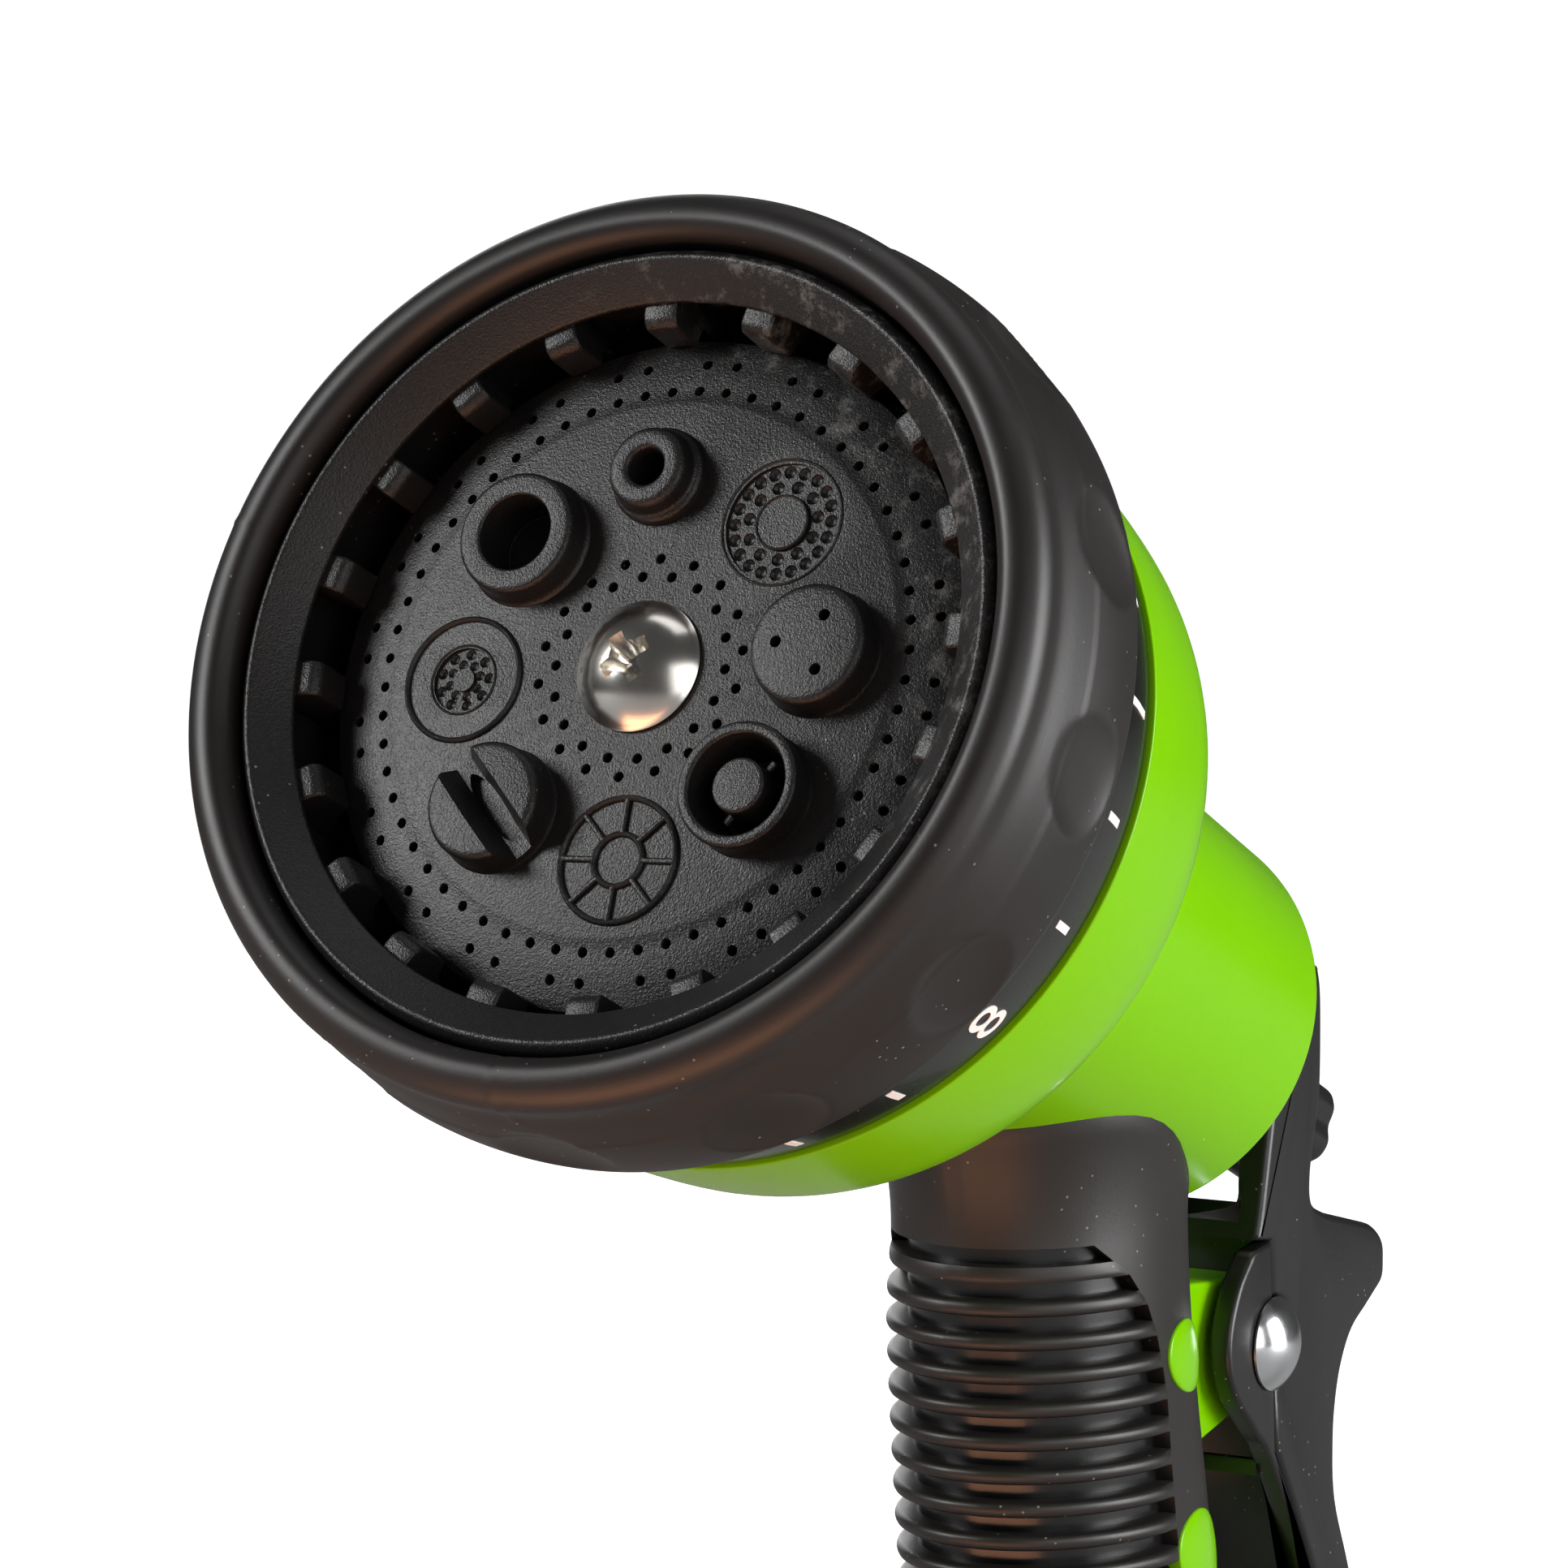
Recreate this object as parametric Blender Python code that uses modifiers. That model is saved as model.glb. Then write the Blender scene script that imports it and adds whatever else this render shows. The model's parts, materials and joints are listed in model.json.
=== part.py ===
"""Garden hose spray nozzle with a turning eight-pattern dial and a rear palm trigger.

Sizes are in millimetres and turned into metres by MM. The object stands upright: +Z runs up the
handle, the dial faces -Y and slightly up, and the trigger is on the +Y side. The origin is the
centre of the end face of the hose nipple.
"""

import math

import bmesh
import bpy
import numpy as np
from mathutils import Matrix, Vector

MM = 0.001
GAP = 0.35  # running and seating clearance between pieces

# --- where the head sits -------------------------------------------------------------------
HEAD_TILT = 23.8  # degrees that the spray axis points up
PLATE_HEIGHT = 185.0  # centre of the spray plate above the inlet
HANDLE_BACK = 69.1  # handle's upper axis behind the spray plate
HANDLE_SWEEP = 7.0  # how far the handle's axis moves back on its way down
SWEEP_LENGTH = 66.0  # height over which it does so

# --- dial ----------------------------------------------------------------------------------
BEZEL_R = 38.6  # widest radius of the rubber bezel
GRIP_T = 5.35  # rubber outside the dial ring
RING_WALL = 1.5
RING_CHANNEL = 3.4  # open channel between ring and plate
PLATE_T = 3.6
BACKING_T = 2.2
FLANGE_T = 2.0
DIAL_TURN = 6.4  # degrees that the first outlet stands off the X axis
OUTLETS = 8
PORT_INSET = 12.2  # outlet circle in from the plate's rim
BOSS_R = 5.15
TABS = 20
DIMPLES = 13
LABEL_FRONT = -10.9
LABEL_REAR = -20.1
SCREW_HEAD_R = 5.4
SCREW_HEAD_H = 2.5
SCREW_R = 2.0
SCREW_LENGTH = 24.0
BUSH_WALL = 0.7

# --- fixed head ----------------------------------------------------------------------------
SHELL_WALL = 2.5
SHELL_DEPTH = 20.7
SHELL_ROUND = 5.2
DISC_Z = -21.5
DISC_T = 2.5
SEAL_R = 4.5
SEAL_BORE = 2.6
SEAL_LENGTH = 4.4
DETENT_TRAVEL = 1.2

# --- neck and valve ------------------------------------------------------------------------
NECK_R = 19.6
NECK_TAPER = 1.1
NECK_FRONT = -36.0
NECK_REAR = -94.7
NECK_WALL = 3.6
NECK_END_WALL = 4.7
SEAT_Z = -56.0
SEAT_T = 3.0
SEAT_BORE = 5.5
STEM_R = 2.5
POPPET_R = 8.2
STEM_TRAVEL = 5.1
GLAND_R = 7.0
GLAND_FLANGE = 1.6
GLAND_PROUD = 2.4
KNOB_R = 6.3
KNOB_FRONT = -119.6
KNOB_LENGTH = 10.0
KNOB_LOBES = 8

# --- handle --------------------------------------------------------------------------------
HANDLE_A = 12.25  # half width
HANDLE_B = 15.7  # half depth
HANDLE_HEEL = 3.0  # how much deeper the handle is behind its axis than in front
HANDLE_SWELL = 0.9
CORE_END = 18.0  # underside of the handle core above the inlet
SLEEVE_END = 24.0
SLEEVE_T = 2.2
LINER_T = 1.2
SLEEVE_EDGE = 132.0  # degrees round from the front
LINER_EDGE = 80.0
PASSAGE_R = 5.6
RIB_TOP = 131.0
RIB_PITCH = 3.1
RIB_DEPTH = 0.9
RIBS = 27
WINDOW_TOP = 119.1
WINDOW_PITCH = 18.2
WINDOWS = 5
WINDOW_BACK = 3.9  # window centres behind the handle's axis

# --- trigger -------------------------------------------------------------------------------
PIVOT_BACK = 94.8  # rivet behind the spray plate
PIVOT_DROP = 68.4  # rivet below the centre of the spray plate
TRIGGER_HALF = 10.7
CHEEK = 2.2
SLOT_HALF = 4.6  # half width of the fork that straddles the stem
LUG_R = 6.2
RIVET_R = 2.5
RIVET_HEAD_R = 4.3
RIVET_HEAD_H = 2.0
EYE_R = 4.2

# --- hose nipple ---------------------------------------------------------------------------
NIPPLE_R = 8.4
NIPPLE_BORE = 5.0
NIPPLE_LENGTH = 12.0
FLANGE_R = 11.4
FLANGE_H = 4.2
WASHER_T = 1.2

# --- worked out from the sizes above -------------------------------------------------------
PLATE_REACH = HANDLE_BACK + HANDLE_SWEEP
RING_R = BEZEL_R - GRIP_T - GAP
RING_IN = RING_R - RING_WALL
PLATE_R = RING_IN - RING_CHANNEL
PORT_PITCH = PLATE_R - PORT_INSET
BACKING_FRONT = -PLATE_T - GAP
BACKING_REAR = BACKING_FRONT - BACKING_T
FLANGE_FRONT = BACKING_REAR - GAP
FLANGE_REAR = FLANGE_FRONT - FLANGE_T
BUSH_IN = SCREW_R + GAP
BUSH_R = BUSH_IN + BUSH_WALL
PLATE_BORE = BUSH_R + GAP
POST_TOP = FLANGE_REAR - 1.2
SHELL_FRONT = LABEL_REAR - GAP
SHELL_R = BEZEL_R - 3.9
SHELL_REAR = SHELL_FRONT - SHELL_DEPTH
NECK_BORE = NECK_R - NECK_WALL
POCKET_FLOOR = DISC_Z + 1.0
SEAL_TOP = BACKING_REAR - GAP
SEAL_REAR = SEAL_TOP - SEAL_LENGTH
DETENT_RADIUS = (PORT_PITCH + SEAL_R + 1.6 + RING_IN) / 2.0
PIVOT_Y = PIVOT_BACK - PLATE_REACH
PIVOT_Z = PLATE_HEIGHT - PIVOT_DROP
CHANNEL_HALF = TRIGGER_HALF - CHEEK
LUG_HALF = CHANNEL_HALF - 0.9
TILT = math.radians(HEAD_TILT)
HEAD = Matrix.Translation(Vector((0, -PLATE_REACH, PLATE_HEIGHT)) * MM) @ Matrix.Rotation(
    math.pi / 2 - TILT, 4, "X"
)
PIVOT = Matrix.Translation(Vector((0, PIVOT_Y, PIVOT_Z)) * MM)

COLOURS = {
    "green": ((0.24, 0.64, 0.0, 1.0), 0.22, 0.0),
    "plate_black": ((0.030, 0.030, 0.032, 1.0), 0.55, 0.0),
    "rubber": ((0.022, 0.021, 0.021, 1.0), 0.72, 0.0),
    "gloss_black": ((0.008, 0.008, 0.009, 1.0), 0.18, 0.0),
    "satin_black": ((0.020, 0.020, 0.021, 1.0), 0.45, 0.0),
    "nickel": ((0.78, 0.76, 0.72, 1.0), 0.16, 1.0),
    "aluminium": ((0.82, 0.83, 0.85, 1.0), 0.25, 1.0),
    "steel": ((0.62, 0.62, 0.63, 1.0), 0.3, 1.0),
    "brass": ((0.80, 0.58, 0.28, 1.0), 0.3, 1.0),
    "seal": ((0.015, 0.015, 0.015, 1.0), 0.8, 0.0),
    "acetal": ((0.72, 0.72, 0.70, 1.0), 0.5, 0.0),
}


# --- scene and shape helpers ---------------------------------------------------------------
def start_scene():
    """Empties the scene and makes one collection for the parts and one for the helpers."""
    for obj in list(bpy.data.objects):
        bpy.data.objects.remove(obj, do_unlink=True)
    parts = bpy.data.collections.new("hose_spray_nozzle")
    cutters = bpy.data.collections.new("cutters")
    cutters.hide_render = True
    for collection in (parts, cutters):
        bpy.context.scene.collection.children.link(collection)
    return parts, cutters


def material(name):
    """A Principled material with the colour, roughness and metallic value of one finish."""
    found = bpy.data.materials.get(name)
    if found:
        return found
    colour, roughness, metallic = COLOURS[name]
    made = bpy.data.materials.new(name)
    made.use_nodes = True
    shader = made.node_tree.nodes["Principled BSDF"]
    shader.inputs["Base Color"].default_value = colour
    shader.inputs["Roughness"].default_value = roughness
    shader.inputs["Metallic"].default_value = metallic
    return made


def place(name, mesh, finish, matrix=None):
    """Puts a mesh into the parts collection, or with no finish among the helpers."""
    obj = bpy.data.objects.new(name, mesh)
    if finish is None:
        CUTTERS.objects.link(obj)
        obj.hide_render = True
        obj.display_type = "WIRE"
    else:
        PARTS.objects.link(obj)
        mesh.materials.append(material(finish))
    if matrix is not None:
        obj.matrix_world = matrix
    return obj


def turned(name, profile, finish, matrix=None, steps=40, closed=True):
    """A profile of (radius, height) points turned about Z; an open one starts and ends on Z."""
    mesh = bpy.data.meshes.new(name)
    points = [(radius * MM, 0.0, height * MM) for radius, height in profile]
    edges = [(i, i + 1) for i in range(len(points) - 1)]
    if closed:
        edges.append((len(points) - 1, 0))
    mesh.from_pydata(points, edges, [])
    obj = place(name, mesh, finish, matrix)
    screw = obj.modifiers.new("Turn", "SCREW")
    screw.axis = "Z"
    screw.steps = steps
    screw.render_steps = steps
    screw.use_merge_vertices = True
    screw.merge_threshold = 0.00001
    screw.use_smooth_shade = True
    return obj


def solid(name, build, finish=None, matrix=None):
    """An object from a function that fills a bmesh with primitives."""
    shape = bmesh.new()
    build(shape)
    mesh = bpy.data.meshes.new(name)
    shape.to_mesh(mesh)
    shape.free()
    return place(name, mesh, finish, matrix)


def add_box(shape, low, high, turn=None):
    """One box between two corners, in millimetres, then turned."""
    low = Vector(low)
    high = Vector(high)
    grow = Matrix.Diagonal((high - low).to_4d())
    grow[3][3] = 1.0
    place_at = Matrix.Translation((low + high) / 2)
    scale = Matrix.Scale(MM, 4)
    matrix = scale @ (turn or Matrix()) @ place_at @ grow
    bmesh.ops.create_cube(shape, size=1.0, matrix=matrix)


def add_rod(shape, x, y, low, high, radius, top_radius=None, segments=14, turn=None):
    """One upright cylinder or cone on (x, y) from low to high, then turned."""
    matrix = Matrix.Scale(MM, 4) @ (turn or Matrix()) @ Matrix.Translation((x, y, (low + high) / 2))
    bmesh.ops.create_cone(
        shape,
        cap_ends=True,
        segments=segments,
        radius1=radius,
        radius2=radius if top_radius is None else top_radius,
        depth=high - low,
        matrix=matrix,
    )


def cut(obj, *cutters):
    for cutter in cutters:
        modifier = obj.modifiers.new("Cut " + cutter.name, "BOOLEAN")
        modifier.operation = "DIFFERENCE"
        modifier.solver = "EXACT"
        modifier.use_self = True
        modifier.object = cutter


def join(obj, *others):
    for other in others:
        modifier = obj.modifiers.new("Join " + other.name, "BOOLEAN")
        modifier.operation = "UNION"
        modifier.solver = "EXACT"
        modifier.use_self = True
        modifier.object = other


def keep(obj, other):
    """Leaves only what lies inside the other."""
    modifier = obj.modifiers.new("Keep " + other.name, "BOOLEAN")
    modifier.operation = "INTERSECT"
    modifier.solver = "EXACT"
    modifier.object = other


def prism(name, outline, half, finish=None, matrix=None):
    """A flat outline of (y, z) points, thickened to both sides of the plane x = 0."""
    curve = bpy.data.curves.new(name, "CURVE")
    curve.dimensions = "2D"
    curve.fill_mode = "BOTH"
    curve.extrude = half * MM
    spline = curve.splines.new("POLY")
    spline.points.add(len(outline) - 1)
    for point, (y, z) in zip(spline.points, outline):
        point.co = (y * MM, z * MM, 0.0, 1.0)
    spline.use_cyclic_u = True
    drawn = bpy.data.objects.new(name, curve)
    bpy.context.scene.collection.objects.link(drawn)
    bpy.context.view_layer.update()
    mesh = bpy.data.meshes.new_from_object(drawn.evaluated_get(bpy.context.evaluated_depsgraph_get()))
    bpy.data.objects.remove(drawn, do_unlink=True)
    shape = bmesh.new()
    shape.from_mesh(mesh)
    bmesh.ops.remove_doubles(shape, verts=shape.verts, dist=0.000001)
    stand_up = Matrix(((0, 0, 1, 0), (1, 0, 0, 0), (0, 1, 0, 0), (0, 0, 0, 1)))
    bmesh.ops.transform(shape, matrix=stand_up, verts=shape.verts)
    bmesh.ops.recalc_face_normals(shape, faces=shape.faces)
    shape.to_mesh(mesh)
    shape.free()
    return place(name, mesh, finish, matrix)


def through(points, steps):
    """A smooth Catmull-Rom line through the points, with that many steps between each two."""
    knots = np.array([points[0], *points, points[-1]], float)
    line = []
    for p0, p1, p2, p3 in zip(knots, knots[1:], knots[2:], knots[3:]):
        for t in np.linspace(0.0, 1.0, steps, endpoint=False):
            bend = (2 * p0 - 5 * p1 + 4 * p2 - p3) * t * t + (3 * p1 - p0 - 3 * p2 + p3) * t**3
            line.append(tuple(p1 + 0.5 * ((p2 - p0) * t + bend)))
    line.append(tuple(knots[-1]))
    return line


def arc(centre, radius, start, end, steps):
    """Points on a circle in the profile plane from one angle to another, in degrees."""
    angles = np.radians(np.linspace(start, end, steps))
    return [(centre[0] + radius * math.cos(a), centre[1] + radius * math.sin(a)) for a in angles]


def loft(name, rings, finish=None):
    """A closed skin over rings of equal length, each ring capped by one face at the ends."""
    rings = np.array(rings) * MM
    count = rings.shape[1]
    faces = []
    for row in range(len(rings) - 1):
        for i in range(count):
            j = (i + 1) % count
            faces.append(
                (row * count + i, row * count + j, (row + 1) * count + j, (row + 1) * count + i)
            )
    faces.append(tuple(reversed(range(count))))
    faces.append(tuple(range((len(rings) - 1) * count, len(rings) * count)))
    mesh = bpy.data.meshes.new(name)
    mesh.from_pydata(rings.reshape(-1, 3).tolist(), [], faces)
    shape = bmesh.new()
    shape.from_mesh(mesh)
    bmesh.ops.recalc_face_normals(shape, faces=shape.faces)
    shape.to_mesh(mesh)
    shape.free()
    return place(name, mesh, finish)


def coil(name, radius, wire, low, high, turns, finish, matrix, points=10):
    """A compression spring about Z with its ends at low and high."""
    curve = bpy.data.curves.new(name, "CURVE")
    curve.dimensions = "3D"
    curve.bevel_depth = wire * MM
    curve.bevel_resolution = 1
    curve.use_fill_caps = True
    count = int(turns * points) + 1
    spline = curve.splines.new("POLY")
    spline.points.add(count - 1)
    for i, point in enumerate(spline.points):
        angle = 2 * math.pi * i / points
        height = low + wire + (high - low - 2 * wire) * i / (count - 1)
        x = radius * math.cos(angle)
        y = radius * math.sin(angle)
        point.co = (x * MM, y * MM, height * MM, 1.0)
    obj = bpy.data.objects.new(name, curve)
    PARTS.objects.link(obj)
    curve.materials.append(material(finish))
    obj.matrix_world = matrix
    return obj


def at_outlet(index):
    """Centre of one outlet on the plate, counted anticlockwise from the one nearest +X."""
    angle = math.radians(DIAL_TURN + index * 360.0 / OUTLETS)
    return PORT_PITCH * math.cos(angle), PORT_PITCH * math.sin(angle)


# --- dial ----------------------------------------------------------------------------------
def spray_plate():
    rim = PLATE_R
    plate = turned(
        "spray_plate",
        [
            (PLATE_BORE, 0.0),
            (rim - 6.1, 0.0),
            (rim - 4.8, -0.29),
            (rim - 2.5, -0.85),
            (rim - 0.4, -1.5),
            (rim, -1.9),
            (rim, -PLATE_T),
            (PLATE_BORE, -PLATE_T),
        ],
        "plate_black",
        HEAD,
        steps=48,
    )
    sunk = -1.0
    heights = {0: 2.8, 2: 3.0, 3: 2.9, 5: 3.5, 7: 3.0}

    def bosses(shape):
        for index, height in heights.items():
            x, y = at_outlet(index)
            if index == 2:
                add_rod(shape, x, y, sunk, 1.2, 0.8 * BOSS_R)
            else:
                add_rod(shape, x, y, sunk, height, BOSS_R)

    def nozzle(shape):
        x, y = at_outlet(2)
        add_rod(shape, x, y, sunk, heights[2], 0.66 * BOSS_R)

    def wells(shape):
        for index in range(OUTLETS):
            x, y = at_outlet(index)
            add_rod(shape, x, y, -PLATE_T - 1.0, -PLATE_T + 1.6, 0.7 * BOSS_R)

    def openings(shape):
        x, y = at_outlet(0)
        for turn in (60, 180, 300):
            dx = 0.5 * BOSS_R * math.cos(math.radians(turn))
            dy = 0.5 * BOSS_R * math.sin(math.radians(turn))
            add_rod(shape, x + dx, y + dy, -PLATE_T + 0.5, 5.0, 0.6, segments=8)
        x, y = at_outlet(2)
        add_rod(shape, x, y, -PLATE_T + 0.5, 5.0, 1.55)
        x, y = at_outlet(3)
        add_rod(shape, x, y, -PLATE_T + 0.5, 5.0, 0.64 * BOSS_R)
        x, y = at_outlet(7)
        add_rod(shape, x, y, -0.5, 5.0, 0.74 * BOSS_R)
        for turn in (45, 135, 225, 315):
            dx = 0.58 * BOSS_R * math.cos(math.radians(turn))
            dy = 0.58 * BOSS_R * math.sin(math.radians(turn))
            add_rod(shape, x + dx, y + dy, -PLATE_T + 0.5, 0.0, 0.7, segments=8)

    def plug(shape):
        x, y = at_outlet(7)
        add_rod(shape, x, y, sunk, heights[7] - 0.4, 0.44 * BOSS_R)

    def groove(shape):
        x, y = at_outlet(5)
        turn = Matrix.Translation((x, y, 0)) @ Matrix.Rotation(math.radians(136), 4, "Z")
        add_box(shape, (-BOSS_R - 1, -1.4, 1.1), (BOSS_R + 1, 1.4, 5.0), turn)
        add_box(shape, (-1.6, -0.6, -PLATE_T + 0.5), (1.6, 0.6, 1.5), turn)

    join(plate, solid("plate_bosses", bosses, matrix=HEAD), solid("plate_nozzle", nozzle, matrix=HEAD))
    cut(
        plate,
        solid("plate_wells", wells, matrix=HEAD),
        solid("plate_openings", openings, matrix=HEAD),
        solid("plate_groove", groove, matrix=HEAD),
    )
    join(plate, solid("plate_plug", plug, matrix=HEAD))


def backing_plate():
    rim = PLATE_R - 0.5
    disc = turned(
        "backing_plate",
        [
            (PLATE_BORE, BACKING_FRONT),
            (rim, BACKING_FRONT),
            (rim, BACKING_REAR),
            (PLATE_BORE, BACKING_REAR),
        ],
        "acetal",
        HEAD,
    )

    def ports(shape):
        for index in range(OUTLETS):
            x, y = at_outlet(index)
            add_rod(shape, x, y, BACKING_REAR - 1, BACKING_FRONT + 1, 0.55 * BOSS_R, segments=14)

    cut(disc, solid("backing_ports", ports, matrix=HEAD))


def dial_ring():
    ridge = RING_IN + 0.6
    ring = turned(
        "dial_ring",
        [
            (ridge, 5.8),
            (RING_R, 5.3),
            (RING_R, LABEL_FRONT + 0.3),
            (BEZEL_R - 2.4, LABEL_FRONT),
            (BEZEL_R - 3.1, -15.5),
            (BEZEL_R - 4.2, LABEL_REAR),
            (RING_IN + 0.6, LABEL_REAR),
            (RING_IN, FLANGE_REAR),
            (PORT_PITCH + SEAL_R + 1.6, FLANGE_REAR),
            (PORT_PITCH + SEAL_R + 1.6, FLANGE_FRONT),
            (RING_IN, FLANGE_FRONT),
            (RING_IN, 3.0),
            (RING_IN - 2.2, 3.5),
        ],
        "gloss_black",
        HEAD,
        steps=40,
    )

    def tabs(shape):
        for index in range(TABS):
            turn = Matrix.Rotation(math.radians(DIAL_TURN + index * 360.0 / TABS), 4, "Z")
            add_box(shape, (PLATE_R - 0.6, -1.5, -0.9), (RING_IN + 0.5, 1.5, 3.2), turn)

    def legs(shape):
        for index in range(TABS):
            turn = Matrix.Rotation(math.radians(DIAL_TURN + index * 360.0 / TABS), 4, "Z")
            add_box(shape, (PLATE_R + GAP, -1.3, FLANGE_FRONT - 0.5), (RING_IN + 0.7, 1.3, 0.6), turn)

    join(ring, solid("ring_tabs", tabs, matrix=HEAD), solid("ring_legs", legs, matrix=HEAD))

    def notches(shape):
        for index in range(OUTLETS):
            angle = math.radians(index * 360.0 / OUTLETS - 90.0)
            x = DETENT_RADIUS * math.cos(angle)
            y = DETENT_RADIUS * math.sin(angle)
            add_rod(shape, x, y, FLANGE_REAR - 0.5, FLANGE_REAR + 0.6, 1.9, 0.9, segments=10)

    cut(ring, solid("detent_notches", notches, matrix=HEAD))


def bezel_grip():
    inside = BEZEL_R - GRIP_T
    crest = BEZEL_R - 3.6
    grip = turned(
        "bezel_grip",
        [
            (inside, 5.5),
            (inside + 0.5, 6.6),
            (crest, 7.5),
            (BEZEL_R - 1.8, 6.7),
            (BEZEL_R - 1.1, 4.9),
            (BEZEL_R - 1.2, 3.0),
            (BEZEL_R - 0.5, 0.0),
            (BEZEL_R, -3.8),
            (BEZEL_R - 0.4, -8.0),
            (BEZEL_R - 1.5, LABEL_FRONT + GAP),
            (inside, LABEL_FRONT + 0.3 + GAP),
        ],
        "rubber",
        HEAD,
        steps=39,
    )

    def dimples(shape):
        for index in range(DIMPLES):
            angle = math.radians(-8.3 + index * 360.0 / DIMPLES)
            at = Vector((math.cos(angle), math.sin(angle), 0)) * (BEZEL_R + 9.5)
            at.z = -4.2
            matrix = Matrix.Scale(MM, 4) @ Matrix.Translation(at)
            bmesh.ops.create_icosphere(shape, subdivisions=2, radius=10.6, matrix=matrix)

    cut(grip, solid("grip_dimples", dimples, matrix=HEAD))


def plate_screw():
    dome = arc((0.0, GAP + SCREW_HEAD_H - 7.4), 7.4, 90, 46.5, 6)
    screw = turned(
        "plate_screw",
        [
            *dome,
            (SCREW_HEAD_R, GAP + 0.5),
            (SCREW_HEAD_R - 0.2, GAP),
            (SCREW_R, GAP),
            (SCREW_R, GAP - SCREW_LENGTH),
            (0.0, GAP - SCREW_LENGTH),
        ],
        "nickel",
        HEAD,
        steps=24,
        closed=False,
    )

    def cross(shape):
        for turn in (38, 128):
            spin = Matrix.Rotation(math.radians(turn), 4, "Z")
            add_box(shape, (-2.9, -0.75, 1.2), (2.9, 0.75, 4.0), spin)

    cut(screw, solid("screw_cross", cross, matrix=HEAD))
    turned(
        "pivot_bush",
        [(BUSH_IN, 0.0), (BUSH_R, 0.0), (BUSH_R, POST_TOP + GAP), (BUSH_IN, POST_TOP + GAP)],
        "acetal",
        HEAD,
        steps=20,
    )


# --- fixed head ----------------------------------------------------------------------------
def head_shell():
    outer = SHELL_R
    round_at = (outer - 1.6 - SHELL_ROUND, SHELL_REAR + 1.6 + SHELL_ROUND)
    inner_round = SHELL_ROUND - SHELL_WALL
    inner_at = (round_at[0], round_at[1])
    turned(
        "head_shell",
        [
            (outer, SHELL_FRONT),
            (outer - 0.4, SHELL_FRONT - 6.0),
            *arc(round_at, SHELL_ROUND, 0, -78, 5),
            (NECK_R + GAP + 0.6, SHELL_REAR),
            (NECK_R + GAP + 0.6, SHELL_REAR + SHELL_WALL),
            *arc(inner_at, inner_round, -78, 0, 4),
            (outer - SHELL_WALL, SHELL_FRONT - 6.0),
            (outer - SHELL_WALL, SHELL_FRONT),
        ],
        "green",
        HEAD,
        steps=40,
    )


def port_manifold():
    """The fixed disc behind the dial: screw post, sealed outlet cup, detent tower, rear spigot."""
    hole = SCREW_R + GAP
    hole_floor = GAP - SCREW_LENGTH - 1.2
    rim = SHELL_R - SHELL_WALL - GAP
    spigot = NECK_BORE - GAP
    under = DISC_Z - DISC_T
    body = turned(
        "port_manifold",
        [
            (0.0, hole_floor),
            (hole, hole_floor),
            (hole, POST_TOP),
            (hole + 3.2, POST_TOP),
            (hole + 3.2, DISC_Z),
            (rim, DISC_Z),
            (rim, under),
            (PORT_PITCH + SEAL_R + 1.0, under),
            (spigot, under - 9.0),
            (spigot, NECK_FRONT - 9.0),
            (spigot - 2.2, NECK_FRONT - 9.0),
            (spigot - 2.2, under - 9.5),
            (PORT_PITCH + SEAL_BORE + 0.9, under - 0.8),
            (hole + 3.0, under - 0.8),
            (hole + 2.6, hole_floor - 2.0),
            (0.0, hole_floor - 2.0),
        ],
        "satin_black",
        HEAD,
        steps=32,
        closed=False,
    )
    cup_top = SEAL_TOP - 1.8

    def towers(shape):
        add_rod(shape, 0, PORT_PITCH, DISC_Z - 1.0, cup_top, SEAL_R + GAP + 1.2)
        add_rod(shape, 0, -DETENT_RADIUS, DISC_Z - 1.0, FLANGE_REAR - 2.4, 3.1, segments=16)

    def pockets(shape):
        add_rod(shape, 0, PORT_PITCH, POCKET_FLOOR, cup_top + 1.0, SEAL_R + GAP)
        add_rod(shape, 0, PORT_PITCH, under - 3.0, POCKET_FLOOR + 0.5, SEAL_BORE)
        add_rod(shape, 0, -DETENT_RADIUS, POCKET_FLOOR, FLANGE_REAR, 1.9, segments=16)

    join(body, solid("manifold_towers", towers, matrix=HEAD))
    cut(body, solid("manifold_pockets", pockets, matrix=HEAD))


def port_seal():
    at = HEAD @ Matrix.Translation(Vector((0, PORT_PITCH, 0)) * MM)
    turned(
        "port_seal",
        [(SEAL_BORE, SEAL_TOP), (SEAL_R, SEAL_TOP), (SEAL_R, SEAL_REAR), (SEAL_BORE, SEAL_REAR)],
        "seal",
        at,
        steps=20,
    )
    coil("seal_spring", SEAL_R - 0.8, 0.35, POCKET_FLOOR + GAP, SEAL_REAR - GAP, 3.5, "steel", at, 9)


def detent():
    at = HEAD @ Matrix.Translation(Vector((0, -DETENT_RADIUS, 0)) * MM)
    tip = FLANGE_REAR - GAP
    turned(
        "detent_pin",
        [(0.0, tip), (0.9, tip - 0.4), (1.5, tip - 1.3), (1.5, tip - 5.0), (0.0, tip - 5.0)],
        "acetal",
        at,
        steps=16,
        closed=False,
    )
    spring_top = tip - 5.0 - GAP - DETENT_TRAVEL
    coil("detent_spring", 1.15, 0.22, POCKET_FLOOR + GAP, spring_top, 4.0, "steel", at, 8)


# --- handle section ------------------------------------------------------------------------
def ease(t):
    """0 to 1 with level ends."""
    t = np.clip(t, 0.0, 1.0)
    return t * t * (3 - 2 * t)


def axis_y(z):
    """The handle's axis eases back from the neck to the inlet."""
    return HANDLE_SWEEP * (ease((PLATE_HEIGHT - 54.0 - z) / SWEEP_LENGTH) - 1)


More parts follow.
